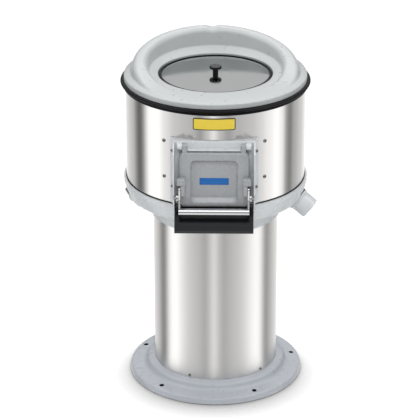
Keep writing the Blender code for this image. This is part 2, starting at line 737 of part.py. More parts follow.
def tub_casting():
    """Bowl under the drum: drafted band, coved underside, pedestal collar and locating ring."""
    collar = PEDESTAL_RADIUS + GAP + TUB_COLLAR_WALL
    tube_outer, tube_inner = PEDESTAL_RADIUS + GAP, PEDESTAL_RADIUS - PEDESTAL_WALL - GAP
    groove_top = TUBE_TOP + GAP
    ring_bottom, ring_top = TUBE_TOP - TUB_RING_DROP, FLOOR_UNDER - GAP
    rebate = FLOOR_DISC_RADIUS + GAP
    outside = fillet(
        [(tube_outer, TUB_BOTTOM), (collar, TUB_BOTTOM), (collar, COVE_HEIGHT),
         (TUB_LOW_RADIUS, BAND_BOTTOM), (TUB_RADIUS, TUB_TOP - TUB_LIP_HEIGHT), (TUB_RADIUS, TUB_TOP)],
        [0, 0, TUB_COVE_ROUND, TUB_EDGE_ROUND, TUB_LIP_ROUND, 0],
        FINE_STEPS,
    )
    bowl = fillet(
        [(TUB_SEAT_RADIUS, TUB_TOP), (TUB_LOW_RADIUS - TUB_WALL, BAND_BOTTOM + TUB_WALL),
         (collar - TUB_WALL, FLOOR_TOP), (rebate, FLOOR_TOP), (rebate, ring_top)],
        [0, TUB_BOWL_ROUND, 0, 0, 0],
        EDGE_STEPS,
    )
    under = [(RING_INNER, ring_top), (RING_INNER, ring_bottom), (tube_inner, ring_bottom),
             (tube_inner, groove_top), (tube_outer, groove_top)]
    tub = lathe("tub_casting", outside + bowl + under, grey_paint())
    for side in SIDES.values():
        middle, outward = side_frame(side)
        start = middle - outward * (GAP + SPOT_FACE_DEPTH)
        cut(tub, rod("spot_face_cut", start, middle + outward * PAD_DEPTH,
                     OUTLET_FLANGE_RADIUS + SPOT_FACE_MARGIN, grey_paint(), MEDIUM_ROUND))
        add(tub, outlet_pad(side))
    middle, outward = side_frame(SIDES["right"])
    cut(tub, rod("outlet_cut", middle - outward * OUTLET_REACH_IN, middle + outward * OVERRUN,
                 OUTLET_BORE_RADIUS, grey_paint()))
    return tub


def tub_floor():
    """Disc with the bearing hub, laid in the bowl on its locating ring."""
    bore = BEARING_RADIUS + HOUSING_WALL + GAP
    seal_bore = BEARING_RADIUS + GAP
    profile = [
        (bore, FLOOR_UNDER), (FLOOR_DISC_RADIUS, FLOOR_UNDER), (FLOOR_DISC_RADIUS, FLOOR_TOP),
        (TUB_HUB_RADIUS + TUB_WALL, FLOOR_TOP), (TUB_HUB_RADIUS, HUB_TOP), (seal_bore, HUB_TOP),
        (seal_bore, HOUSING_TOP + GAP), (bore, HOUSING_TOP + GAP),
    ]
    return lathe("tub_floor", profile, grey_paint(), MEDIUM_ROUND)


def seam_gasket():
    outer = TUB_RADIUS + SEAM_PROUD
    profile = [(TUB_SEAT_RADIUS, SEAM_BOTTOM), (outer, SEAM_BOTTOM), (outer, SEAM_TOP),
               (TUB_SEAT_RADIUS, SEAM_TOP)]
    return lathe("seam_gasket", profile, black_rubber())


def outlet_gaskets():
    """Flat rubber rings under the outlet and under the blanking plate."""
    profile = [(OUTLET_BORE_RADIUS, 0), (OUTLET_FLANGE_RADIUS, 0),
               (OUTLET_FLANGE_RADIUS, OUTLET_GASKET_WALL), (OUTLET_BORE_RADIUS, OUTLET_GASKET_WALL)]
    names = {"left": "blanking_gasket", "right": "outlet_gasket"}
    for side, name in names.items():
        middle, outward = side_frame(SIDES[side])
        lathe(name, profile, black_rubber(), MEDIUM_ROUND, middle, outward)


def waste_outlet():
    """Flanged spigot that a waste hose is pushed onto."""
    middle, outward = side_frame(SIDES["right"])
    start = middle + outward * (OUTLET_GASKET_WALL + GAP)
    length = OUTLET_LENGTH - OUTLET_GASKET_WALL
    cone_end = OUTLET_FLANGE_WALL + OUTLET_CONE_HEIGHT
    profile = fillet(
        [(OUTLET_BORE_RADIUS, 0), (OUTLET_FLANGE_RADIUS, 0), (OUTLET_FLANGE_RADIUS, OUTLET_FLANGE_WALL),
         (OUTLET_SPIGOT_RADIUS, cone_end), (OUTLET_SPIGOT_RADIUS, length), (OUTLET_BORE_RADIUS, length)],
        [0, 0, OUTLET_END_ROUND, OUTLET_CONE_ROUND, OUTLET_END_ROUND, 0],
        EDGE_STEPS,
    )
    return lathe("waste_outlet", profile, grey_paint(), MEDIUM_ROUND, start, outward)


def blanking_plate():
    """Plate that closes the second outlet."""
    middle, outward = side_frame(SIDES["left"])
    start = middle + outward * (OUTLET_GASKET_WALL + GAP)
    profile = fillet(
        [(0, 0), (OUTLET_FLANGE_RADIUS, 0), (OUTLET_FLANGE_RADIUS, BLANK_WALL),
         (BLANK_BOSS_RADIUS, BLANK_WALL), (BLANK_BOSS_RADIUS, BLANK_WALL + BLANK_BOSS_HEIGHT),
         (0, BLANK_WALL + BLANK_BOSS_HEIGHT)],
        [0, 0, BLANK_WALL / 2, BLANK_WALL / 2, BLANK_WALL / 2, 0],
        EDGE_STEPS,
    )
    return lathe("blanking_plate", profile, grey_paint(), MEDIUM_ROUND, start, outward)


# Drum, liner and rim gasket
def opening_outline(clearance=0.0):
    low = OPENING_BOTTOM - clearance
    high = OPENING_TOP + clearance
    return fillet(rectangle(OPENING_HALF_WIDTH + clearance, low, high), OPENING_ROUND + clearance)


def drum_shell():
    inner = DRUM_RADIUS - DRUM_WALL
    profile = [(inner, DRUM_BOTTOM), (DRUM_RADIUS, DRUM_BOTTOM), (DRUM_RADIUS, DRUM_TOP), (inner, DRUM_TOP)]
    drum = lathe("drum_shell", profile, stainless())
    cut(drum, prism("drum_opening_cut", opening_outline(), "Y",
                    -DRUM_RADIUS - OVERRUN, -DRUM_RADIUS / 2, stainless()))
    height = DRUM_TOP - INLET_DROP
    cut(drum, rod("inlet_hole_cut", (0, inner - OVERRUN, height), (0, DRUM_RADIUS + OVERRUN, height),
                  INLET_RADIUS + GAP, stainless()))
    return drum


def abrasive_liner():
    bottom = DRUM_BOTTOM + LINER_FOOT
    top = bottom + LINER_HEIGHT
    profile = [(LINER_INNER, bottom), (LINER_OUTER, bottom), (LINER_OUTER, top), (LINER_INNER, top)]
    liner = lathe("abrasive_liner", profile, abrasive())
    cut(liner, prism("liner_opening_cut", opening_outline(DRUM_WALL), "Y",
                     -DRUM_RADIUS - OVERRUN, -DRUM_RADIUS / 2, abrasive()))
    height = DRUM_TOP - INLET_DROP
    cut(liner, rod("liner_inlet_cut", (0, LINER_INNER - OVERRUN, height), (0, DRUM_RADIUS, height),
                   INLET_NUT_RADIUS + NUT_MARGIN, abrasive()))
    return liner


def rim_gasket():
    """Rubber channel pushed over the drum's upper edge."""
    inner = DRUM_RADIUS + GAP
    skirt, neck = DRUM_RADIUS + RIM_PROUD, DRUM_RADIUS + RIM_NECK_PROUD
    bead, bead_low = DRUM_RADIUS + RIM_BEAD_PROUD, RIM_TOP - RIM_BEAD_HEIGHT
    lip_inner = DRUM_RADIUS - RIM_LIP_REACH
    profile = fillet(
        [(inner, RIM_BOTTOM), (skirt, RIM_BOTTOM), (skirt, bead_low - RIM_NECK_HEIGHT),
         (neck, bead_low), (bead, bead_low), (bead, RIM_TOP),
         (lip_inner, RIM_TOP), (lip_inner, DRUM_TOP + GAP), (inner, DRUM_TOP + GAP)],
        [0, RIM_ROUND, 0, 0, RIM_BEAD_ROUND, RIM_BEAD_ROUND, 0, 0, 0],
        EDGE_STEPS,
    )
    return lathe("rim_gasket", profile, black_rubber())


# Top cover with the hood that fades towards the front
def hood_share(angle):
    """How high the hood stands at an angle, as a share of its height at the rear."""
    away = math.remainder(angle - HOOD_ANGLE, math.tau)
    wave = math.cos(min(abs(away), math.pi) * math.pi / 2 / HOOD_SPREAD)
    return (math.sqrt(wave * wave + HOOD_FADE * HOOD_FADE) + wave) / 2


def notch_share(angle):
    away = math.remainder(angle - NOTCH_ANGLE, math.tau) / NOTCH_WIDTH
    return max(0.0, 1 - away * away) if abs(away) < 1 else 0.0


def cover_section(angle):
    """Closed section of the cover at one angle, as (radius, height) points."""
    share = hood_share(angle)
    crest = HOOD_HEIGHT * share - NOTCH_DEPTH * notch_share(angle)
    half = HOOD_CREST_WIDTH / 2
    foot = COVER_RIM + HOOD_FOOT_RISE * share
    edge = COVER_BOTTOM + COVER_EDGE_HEIGHT
    top = COVER_RIM + crest
    outer_foot = HOOD_CREST_RADIUS + half + HOOD_OUTER_SPREAD
    outer = fillet(
        [
            (COVER_OPENING_RADIUS, COVER_LEDGE_TOP), (COVER_OPENING_RADIUS, COVER_RIM),
            (HOOD_FOOT_RADIUS, foot), (HOOD_CREST_RADIUS - half, top), (HOOD_CREST_RADIUS + half, top),
            (outer_foot, (edge + COVER_RIM) / 2 + HOOD_OUTER_RISE * share),
            (COVER_RADIUS, edge), (COVER_RADIUS, COVER_BOTTOM),
        ],
        [0, COVER_RIM_ROUND, HOOD_FOOT_ROUND, half, half, HOOD_FOOT_ROUND, COVER_EDGE_ROUND, 0],
        FINE_STEPS,
    )
    under = COVER_RIM - COVER_WALL
    skirt_inner = COVER_SKIRT_RADIUS - COVER_SKIRT_WALL
    ledge_under = COVER_LEDGE_TOP - COVER_LEDGE_WALL
    inner = [
        (COVER_SKIRT_RADIUS, COVER_BOTTOM), (COVER_SKIRT_RADIUS, COVER_BOTTOM - COVER_SKIRT_DROP),
        (skirt_inner, COVER_BOTTOM - COVER_SKIRT_DROP), (skirt_inner, under),
        (COVER_OPENING_RADIUS + COVER_WALL, under), (COVER_OPENING_RADIUS + COVER_WALL, ledge_under),
        (COVER_LEDGE_RADIUS, ledge_under), (COVER_LEDGE_RADIUS, COVER_LEDGE_TOP),
    ]
    return outer + inner


def top_cover():
    shell = bmesh.new()
    rings = []
    for k in range(ROUND):
        angle = math.tau * k / ROUND
        rings.append([shell.verts.new((radius * math.cos(angle), radius * math.sin(angle), height))
                      for radius, height in cover_section(angle)])
    for k, ring in enumerate(rings):
        after = rings[(k + 1) % ROUND]
        for j in range(len(ring)):
            beside = (j + 1) % len(ring)
            shell.faces.new((ring[j], ring[beside], after[beside], after[j]))
    return as_object("top_cover", shell, grey_plastic())


# Inner lid
def inner_lid():
    radius = COVER_OPENING_RADIUS - LID_CLEARANCE - SEAL_WIDTH - GAP
    profile = fillet(
        [(0, LID_TOP - LID_WALL), (radius - LID_EDGE_WALL, LID_TOP - LID_WALL),
         (radius - LID_EDGE_WALL, LID_BOTTOM), (radius, LID_BOTTOM), (radius, LID_TOP), (0, LID_TOP)],
        [0, 0, 0, 0, LID_WALL / 2, 0],
        FINE_STEPS,
    )
    return lathe("inner_lid", profile, polished_steel())


def lid_seal():
    outer = COVER_OPENING_RADIUS - LID_CLEARANCE
    inner = outer - SEAL_WIDTH
    foot_inner = inner - SEAL_FOOT_REACH
    profile = fillet(
        [(foot_inner, SEAL_BOTTOM), (outer, SEAL_BOTTOM), (outer, SEAL_BOTTOM + SEAL_HEIGHT),
         (inner, SEAL_BOTTOM + SEAL_HEIGHT), (inner, SEAL_BOTTOM + SEAL_FOOT),
         (foot_inner, SEAL_BOTTOM + SEAL_FOOT)],
        [0, 0, SEAL_FOOT, 0, 0, 0],
        EDGE_STEPS,
    )
    return lathe("lid_seal", profile, black_rubber())


def lid_knob():
    bottom = LID_TOP + GAP
    cap = bottom + KNOB_HEIGHT - KNOB_CAP_HEIGHT
    profile = fillet(
        [(0, bottom), (KNOB_STEM_RADIUS, bottom), (KNOB_STEM_RADIUS, cap), (KNOB_RADIUS, cap),
         (KNOB_RADIUS, bottom + KNOB_HEIGHT), (0, bottom + KNOB_HEIGHT)],
        [0, 0, 0, KNOB_CAP_ROUND, KNOB_CAP_ROUND, 0],
    )
    return lathe("lid_knob", profile, black_plastic(), SMALL_ROUND)


# Door frame
def cheek_outline():
    """Side of a cheek as (y, z), with the notch that takes the roller's pin."""
    face = -(FACE_REACH - FRAME_FACE_ROUND)
    edge = -CHEEK_FRONT_REACH
    low = FRAME_BOTTOM - CHEEK_FOOT_DROP
    back_low = FRAME_BOTTOM + OVERRUN
    back = -(ROLLER_REACH - ROLLER_PIN_RADIUS - NOTCH_AIR)
    up = ROLLER_PIN_RADIUS + NOTCH_AIR
    top = FRAME_TOP - OVERRUN
    return [
        (face, back_low), (-(FACE_REACH + OVERRUN), low), (edge, low),
        (edge, ROLLER_AXIS_HEIGHT - up - NOTCH_FLARE_DOWN), (back, ROLLER_AXIS_HEIGHT - up),
        (back, ROLLER_AXIS_HEIGHT + up), (edge, ROLLER_AXIS_HEIGHT + up + NOTCH_FLARE_UP),
        (edge, FRAME_TOP - CHEEK_TOP_DROP), (-(HINGE_AXIS_REACH + BOSS_RADIUS), FRAME_TOP - HINGE_DROP),
        (-(HINGE_AXIS_REACH), top), (face, top),
    ]


def door_frame():
    """Casting screwed to the drum, with the door seat, cheeks, hinge bosses and ledge."""
    outer = DRUM_RADIUS + GAP + FRAME_FLANGE_WALL
    block_half = CHEEK_INNER + CHEEK_WALL
    face_outline = fillet(
        [(-DRUM_RADIUS / 2, FRAME_BOTTOM), (-FACE_REACH, FRAME_BOTTOM), (-FACE_REACH, FRAME_TOP),
         (-DRUM_RADIUS / 2, FRAME_TOP)],
        [0, FRAME_FACE_ROUND / 2, FRAME_FACE_ROUND, 0],
    )
    frame = prism("door_frame", face_outline, "X", -block_half, block_half, grey_paint())
    half_turn = math.asin(FRAME_HALF_WIDTH / outer)
    arc = [-math.pi / 2 - half_turn + 2 * half_turn * k / FRAME_ARC_STEPS for k in range(FRAME_ARC_STEPS + 1)]
    inner = DRUM_RADIUS - OVERRUN
    flange_outline = [(outer * math.cos(a), outer * math.sin(a)) for a in arc]
    flange_outline += [(inner * math.cos(a), inner * math.sin(a)) for a in reversed(arc)]
    add(frame, prism("flange_part", flange_outline, "Z", FRAME_BOTTOM, FRAME_TOP, grey_paint()))
    for side in SIDES.values():
        sideways = sorted((side * CHEEK_INNER, side * (block_half + FRAME_CHEEK_PROUD)))
        add(frame, prism("cheek_part", cheek_outline(), "X", *sideways, grey_paint()))
        boss = [
            (-(FACE_REACH - OVERRUN), HINGE_HEIGHT - BOSS_RADIUS),
            (-HINGE_AXIS_REACH - BOSS_RADIUS, HINGE_HEIGHT - BOSS_RADIUS),
            (-HINGE_AXIS_REACH - BOSS_RADIUS, HINGE_HEIGHT + BOSS_RADIUS),
            (-(FACE_REACH - OVERRUN), HINGE_HEIGHT + BOSS_RADIUS),
        ]
        across = sorted((side * BOSS_INNER, side * BOSS_OUTER))
        boss = fillet(boss, [0, BOSS_RADIUS, BOSS_RADIUS, 0], CORNER_STEPS)
        add(frame, prism("boss_part", boss, "X", *across, grey_paint()))
    ledge_low = HINGE_HEIGHT - LEDGE_DROP
    ledge_top = ledge_low + LEDGE_WALL
    root, edge = -(FACE_REACH - OVERRUN), -(FACE_REACH + LEDGE_REACH)
    ledge_outline = fillet(
        [(root, ledge_low), (edge, ledge_low), (edge, ledge_low + LEDGE_WALL / 2), (root, ledge_top)],
        [0, LEDGE_WALL / 4, LEDGE_WALL / 4, 0],
    )
    add(frame, prism("ledge_part", ledge_outline, "X", -LEDGE_HALF_WIDTH, LEDGE_HALF_WIDTH, grey_paint()))
    cut(frame, rod("drum_cut", (0, 0, FRAME_BOTTOM - OVERRUN * 2), (0, 0, FRAME_TOP + OVERRUN),
                   DRUM_RADIUS + GAP, grey_paint(), ROUND))
    cut(frame, prism("frame_opening_cut", opening_outline(), "Y",
                     -(FACE_REACH + OVERRUN), -DRUM_RADIUS / 2, grey_paint()))
    for side in SIDES.values():
        cut(frame, rod("pin_hole_cut",
                       front(side * (BOSS_INNER - OVERRUN), HINGE_AXIS_REACH, HINGE_HEIGHT),
                       front(side * (BOSS_OUTER + OVERRUN), HINGE_AXIS_REACH, HINGE_HEIGHT),
                       HINGE_PIN_RADIUS + GAP, grey_paint(), SMALL_ROUND))
    return frame


def hinge_pins():
    for name, side in SIDES.items():
        rod("hinge_pin_" + name,
            front(side * (LEDGE_HALF_WIDTH + LUG_SIDE_GAP), HINGE_AXIS_REACH, HINGE_HEIGHT),
            front(side * (BOSS_OUTER + GAP), HINGE_AXIS_REACH, HINGE_HEIGHT),
            HINGE_PIN_RADIUS, polished_steel())


# Discharge door
def door_outline(reach):
    return [(x, -reach, z) for x, z in
            fillet(rectangle(DOOR_HALF_WIDTH, DOOR_BOTTOM, DOOR_TOP), DOOR_ROUND, CORNER_STEPS)]


def shrunk_door(reach, less):
    return [(x, -reach, z) for x, z in
            fillet(rectangle(DOOR_HALF_WIDTH - less, DOOR_BOTTOM + less, DOOR_TOP - less),
                   DOOR_ROUND - less, CORNER_STEPS)]


def block_outline(low, high, proud, corner):
    """Side of a block on the door's face as (y, z), with its two front corners rounded."""
    back, face = -(DOOR_FACE_REACH - OVERRUN), -(DOOR_FACE_REACH + proud)
    return fillet([(back, low), (face, low), (face, high), (back, high)], [0, corner, corner, 0])


def add_bracket(door, side):
    """Leg beside the door's edge that carries a pivot pin, with a wider head block above it."""
    head_low = PIVOT_HEIGHT + HEAD_RISE
    leg = block_outline(PIVOT_HEIGHT - BRACKET_FOOT_DROP, head_low + HEAD_ROUND, BRACKET_PROUD, BRACKET_ROUND)
    across = sorted((side * BRACKET_INNER, side * (BRACKET_INNER + BRACKET_WIDTH)))
    add(door, prism("bracket_leg_part", leg, "X", *across, door_paint()))
    head = block_outline(head_low, head_low + HEAD_HEIGHT, HEAD_PROUD, HEAD_ROUND)
    across = sorted((side * (BRACKET_INNER - GAP), side * HEAD_OUTER))
    add(door, prism("bracket_head_part", head, "X", *across, door_paint()))


def discharge_door():
    """Cast door with its plug, pocket, lugs and the brackets that carry the handle."""
    edge = DOOR_EDGE_ROUND
    turn = math.sqrt(0.5)
    door = loft("discharge_door", [
        door_outline(DOOR_BACK_REACH),
        door_outline(DOOR_FACE_REACH - edge),
        shrunk_door(DOOR_FACE_REACH - edge * (1 - turn), edge * (1 - turn)),
        shrunk_door(DOOR_FACE_REACH, edge),
    ], door_paint())
    plug_low = OPENING_BOTTOM + PLUG_CLEARANCE + GAP
    plug_high = OPENING_TOP - PLUG_CLEARANCE
    plug_outline = fillet(rectangle(PLUG_HALF_WIDTH, plug_low, plug_high), OPENING_ROUND - PLUG_CLEARANCE)
    plug = prism("plug_part", plug_outline, "Y", -(DOOR_BACK_REACH + OVERRUN), -DRUM_RADIUS / 2, door_paint())
    add(door, plug)
    for side in SIDES.values():
        lug_inner = side * (LEDGE_HALF_WIDTH + LUG_SIDE_GAP)
        across = sorted((lug_inner, lug_inner + side * LUG_WIDTH))
        lug = fillet(
            [(-HINGE_AXIS_REACH - LUG_RADIUS, DOOR_TOP - LUG_RADIUS),
             (-HINGE_AXIS_REACH - LUG_RADIUS, HINGE_HEIGHT + LUG_RADIUS),
             (LUG_RADIUS - HINGE_AXIS_REACH, HINGE_HEIGHT + LUG_RADIUS),
             (-DOOR_BACK_REACH - GAP, DOOR_TOP - LUG_RADIUS)],
            [0, LUG_RADIUS, LUG_RADIUS, 0], CORNER_STEPS)
        add(door, prism("lug_part", lug, "X", *across, door_paint()))
        add_bracket(door, side)
    plug_face = DRUM_RADIUS - DRUM_WALL - PLUG_FACE_PROUD
    cut(door, rod("plug_face_cut", (0, 0, DOOR_BOTTOM), (0, 0, DOOR_TOP), plug_face, door_paint(), ROUND))
    floor_reach = DOOR_FACE_REACH - POCKET_DEPTH
    low, high = POCKET_BOTTOM + POCKET_FOOT_DRAFT, POCKET_TOP - POCKET_DRAFT
    floor = rectangle(POCKET_HALF_WIDTH - POCKET_DRAFT, low, high)
    floor = fillet(floor, POCKET_ROUND - POCKET_DRAFT, CORNER_STEPS)
    mouth = fillet(rectangle(POCKET_HALF_WIDTH, POCKET_BOTTOM, POCKET_TOP), POCKET_ROUND, CORNER_STEPS)
    cut(door, loft("pocket_cut", [
        [(x, -floor_reach, z) for x, z in floor],
        [(x, -DOOR_FACE_REACH - POCKET_AIR, z) for x, z in mouth],
    ], door_paint()))
    for side in SIDES.values():
        inside = side * (LEDGE_HALF_WIDTH - OVERRUN)
        outside = side * (BOSS_INNER + OVERRUN)
        cut(door, rod("lug_hole_cut", front(inside, HINGE_AXIS_REACH, HINGE_HEIGHT),
                      front(outside, HINGE_AXIS_REACH, HINGE_HEIGHT), HINGE_PIN_RADIUS + RUNNING_GAP,
                      door_paint()))
        end = side * (BRACKET_INNER + BRACKET_WIDTH)
        depth = side * (PIVOT_PIN_DEPTH + GAP)
        cut(door, rod("pivot_hole_cut", front(end - depth, PIVOT_REACH, PIVOT_HEIGHT),
                      front(end + side * OVERRUN, PIVOT_REACH, PIVOT_HEIGHT), PIVOT_PIN_RADIUS + GAP,
                      door_paint()))
    return door


def door_seal():
    """Flat rubber ring on the door's back, round its plug."""
    inset = DOOR_SEAL_INSET
    outer = fillet(rectangle(DOOR_HALF_WIDTH - inset, DOOR_BOTTOM + inset, DOOR_TOP - inset),
                   DOOR_ROUND - inset, CORNER_STEPS)
    inner_half = PLUG_HALF_WIDTH + GAP
    plug_low = OPENING_BOTTOM + PLUG_CLEARANCE
    plug_high = OPENING_TOP - PLUG_CLEARANCE + GAP
    back = -(SEAL_FACE_REACH + DOOR_SEAL_WALL)
    seal = prism("door_seal", outer, "Y", back, -SEAL_FACE_REACH, black_rubber())
    hole = fillet(rectangle(inner_half, plug_low, plug_high), OPENING_ROUND - PLUG_CLEARANCE)
    return cut(seal, prism("seal_cut", hole, "Y", back - OVERRUN, -DRUM_RADIUS / 2, black_rubber()))


# Latch handle
def latch_handle():
    """Round bar between two flat arms that turn on pins in the door's brackets."""
    handle = rod("latch_handle", front(-ARM_OUTER, BAR_AXIS_REACH, BAR_HEIGHT),
                 front(ARM_OUTER, BAR_AXIS_REACH, BAR_HEIGHT), BAR_RADIUS, polished_steel(), SMALL_ROUND)
    half = ARM_WIDTH / 2
    for side in SIDES.values():
        across = sorted((side * ARM_INNER, side * ARM_OUTER))
        pivot = Vector((-PIVOT_REACH, PIVOT_HEIGHT))
        roller = Vector((-ROLLER_REACH, ROLLER_AXIS_HEIGHT))
        bar = Vector((-BAR_AXIS_REACH, BAR_HEIGHT))
        outline = [(pivot.x - half, pivot.y + half), (pivot.x + half, pivot.y + half),
                   (roller.x + half, roller.y), (roller.x + half, roller.y - half),
                   (bar.x + ARM_FOOT_HALF, bar.y), (bar.x - ARM_FOOT_HALF, bar.y),
                   (roller.x - half, roller.y - half / 2)]
        arm = prism("arm_part", fillet(outline, ARM_ROUND), "X", *across, polished_steel())
        add(handle, arm)
        cut(handle, rod("arm_pivot_cut",
                        front(side * (ARM_INNER - OVERRUN), PIVOT_REACH, PIVOT_HEIGHT),
                        front(side * (ARM_OUTER + OVERRUN), PIVOT_REACH, PIVOT_HEIGHT),
                        PIVOT_PIN_RADIUS + RUNNING_GAP, polished_steel()))
        cut(handle, rod("arm_roller_cut",
                        front(side * (ARM_INNER - OVERRUN), ROLLER_REACH, ROLLER_AXIS_HEIGHT),
                        front(side * (ARM_OUTER + OVERRUN), ROLLER_REACH, ROLLER_AXIS_HEIGHT),
                        ROLLER_PIN_RADIUS + GAP, polished_steel()))
    return handle


def handle_pins():
    made = []
    for name, side in SIDES.items():
        start = side * (BRACKET_INNER + BRACKET_WIDTH - PIVOT_PIN_DEPTH)
        made.append(rod("handle_pin_" + name, front(start, PIVOT_REACH, PIVOT_HEIGHT),
                        front(side * (ARM_OUTER + GAP), PIVOT_REACH, PIVOT_HEIGHT),
                        PIVOT_PIN_RADIUS, polished_steel(), SMALL_ROUND))
    return made


def latch_rollers():
    """Round cams on the arms; each one's pin sits in a cheek's notch while the door is shut."""
    made = []
    inner = GAP
    for name, side in SIDES.items():
        start = front(side * ARM_INNER, ROLLER_REACH, ROLLER_AXIS_HEIGHT)
        pin_end = ARM_WALL + ROLLER_PIN_OUT
        disc_start = ARM_WALL + inner
        disc_end = disc_start + ROLLER_WIDTH
        profile = [(0, 0), (ROLLER_PIN_RADIUS, 0), (ROLLER_PIN_RADIUS, disc_start),
                   (ROLLER_RADIUS, disc_start), (ROLLER_RADIUS, disc_end), (ROLLER_PIN_RADIUS, disc_end),
                   (ROLLER_PIN_RADIUS, pin_end), (0, pin_end)]
        made.append(lathe("latch_roller_" + name, profile, polished_steel(), SMALL_ROUND, start,
                          (side, 0, 0)))
    return made


# Chute
def chute_tray():
    """Folded tray that leads peeled potatoes out over the tub."""
    start = -TRAY_START_REACH
    rear = FRAME_BOTTOM + TRAY_START_RISE
    lip_y, lip_z = start - TRAY_REACH, rear - TRAY_FALL
    slope = math.atan2(TRAY_FALL, TRAY_REACH)
    drop = TRAY_WALL / math.cos(slope)
    floor = [(start, rear + TRAY_UPSTAND), (start, rear - drop), (lip_y + TRAY_WALL, lip_z - drop),
             (lip_y + TRAY_WALL, lip_z - TRAY_LIP_DROP), (lip_y, lip_z - TRAY_LIP_DROP), (lip_y, lip_z),
             (start - TRAY_WALL, rear - TRAY_WALL * math.tan(slope)),
             (start - TRAY_WALL, rear + TRAY_UPSTAND)]
    tray = prism("chute_tray", floor, "X", -TRAY_HALF_WIDTH, TRAY_HALF_WIDTH, black_plastic())
    for side in SIDES.values():
        wall = [(start, rear - drop), (lip_y, lip_z - drop), (lip_y, lip_z + TRAY_SIDE_LIP_HEIGHT),
                (start, rear + TRAY_SIDE_HEIGHT)]
        across = sorted((side * (TRAY_HALF_WIDTH - TRAY_WALL), side * TRAY_HALF_WIDTH))
        add(tray, prism("tray_side_part", wall, "X", *across, black_plastic()))
    return tray


# Water inlet
def water_inlet():
    """Threaded tail, shoulder nut and inner nozzle in the drum's rear wall."""
    height = DRUM_TOP - INLET_DROP
    inside = LINER_INNER - INLET_NOZZLE
    shoulder = DRUM_RADIUS + GAP - inside
    end = shoulder + INLET_TAIL
    profile = [(INLET_BORE_RADIUS, 0), (INLET_RADIUS, 0), (INLET_RADIUS, shoulder),
               (INLET_NUT_RADIUS, shoulder), (INLET_NUT_RADIUS, shoulder + INLET_NUT_WALL),
               (INLET_RADIUS, shoulder + INLET_NUT_WALL), (INLET_RADIUS, end), (INLET_BORE_RADIUS, end)]
    return lathe("water_inlet", profile, brass(), SMALL_ROUND, (0, inside, height), -FORWARD)


def inlet_nut():
    """Six-sided back nut on the inner side of the drum's wall."""
    height = DRUM_TOP - INLET_DROP
    wall = DRUM_RADIUS - DRUM_WALL - GAP
    start, end = wall - INLET_NUT_WALL, wall - INLET_NUT_ARC
    nut = prism("inlet_nut", circle(INLET_NUT_RADIUS, NUT_SIDES, height), "Y", start, end, brass())
    return cut(nut, rod("inlet_nut_cut", (0, start - OVERRUN, height), (0, end + OVERRUN, height),
                        INLET_RADIUS + GAP, brass()))


# Peeling plate
def plate_height(radius, angle):
    """Top of the plate: three low waves that grow towards the rim."""
    share = min(1.0, max(0.0, (radius - PLATE_HUB_RADIUS) / (PLATE_RADIUS - PLATE_HUB_RADIUS)))
    lift = PLATE_WAVE * share * (1 + math.cos(PLATE_WAVES * angle)) / 2
    return PLATE_TOP + lift


def peeling_plate():
    """Waved disc with a hub below and sweeping vanes that push peelings to the outlet."""
    disc = bmesh.new()
    bore = SHAFT_RADIUS + GAP
    radii = [bore] + [PLATE_HUB_RADIUS + (PLATE_RADIUS - PLATE_HUB_RADIUS) * k / (PLATE_RINGS - 1)
                      for k in range(PLATE_RINGS)]
    top, below = [], []
    for radius in radii:
        ring = []
        for k in range(PLATE_STEPS):
            angle = math.tau * k / PLATE_STEPS
            ring.append(disc.verts.new((radius * math.cos(angle), radius * math.sin(angle),
                                        plate_height(radius, angle))))
        top.append(ring)
    for radius, height in ((PLATE_RADIUS, PLATE_BOTTOM), (PLATE_HUB_RADIUS, PLATE_BOTTOM),
                           (PLATE_HUB_RADIUS, PLATE_BOTTOM - PLATE_HUB_DROP),
                           (bore, PLATE_BOTTOM - PLATE_HUB_DROP)):
        below.append([disc.verts.new((radius * math.cos(math.tau * k / PLATE_STEPS),
                                      radius * math.sin(math.tau * k / PLATE_STEPS), height))
                      for k in range(PLATE_STEPS)])
    rings = top + below
    for ring, after in zip(rings, rings[1:] + rings[:1]):
        for k in range(PLATE_STEPS):
            beside = (k + 1) % PLATE_STEPS
            disc.faces.new((ring[k], ring[beside], after[beside], after[k]))
    plate = as_object("peeling_plate", disc, abrasive())
    for k in range(VANE_COUNT):
        angle = VANE_ANGLE + math.tau * k / VANE_COUNT
        inner, outer = PLATE_RADIUS * VANE_INNER_SHARE, PLATE_RADIUS * VANE_OUTER_SHARE
        along = Vector((math.cos(angle), math.sin(angle)))
        across = Vector((-along.y, along.x)) * (VANE_WALL / 2)
        corners = [along * inner - across, along * outer - across, along * outer + across,
                   along * inner + across]
        add(plate, prism("vane_part", [tuple(c) for c in corners], "Z", PLATE_BOTTOM - VANE_HEIGHT,
                         PLATE_BOTTOM + PLATE_WALL / 2, abrasive()))
    return plate


def plate_cap():
    """Domed cap that is screwed down on the plate."""
    bottom = PLATE_TOP + GAP
    top = bottom + CAP_HEIGHT
    profile = fillet([(0, bottom), (CAP_RADIUS, bottom), (CAP_RADIUS, top), (0, top)], [0, 0, CAP_ROUND, 0])
    return lathe("plate_cap", profile, stainless(), SMALL_ROUND)


# Spindle group
def drive_shaft():
    top = PLATE_TOP
    return rod("drive_shaft", (0, 0, SHAFT_BOTTOM), (0, 0, top), SHAFT_RADIUS, polished_steel())


def shaft_seal():
    inner = SHAFT_RADIUS + GAP
    bottom = HOUSING_TOP + GAP + GAP
    profile = [(inner, bottom), (BEARING_RADIUS, bottom), (BEARING_RADIUS, bottom + SHAFT_SEAL_HEIGHT),
               (inner, bottom + SHAFT_SEAL_HEIGHT)]
    return lathe("shaft_seal", profile, black_rubber(), MEDIUM_ROUND)


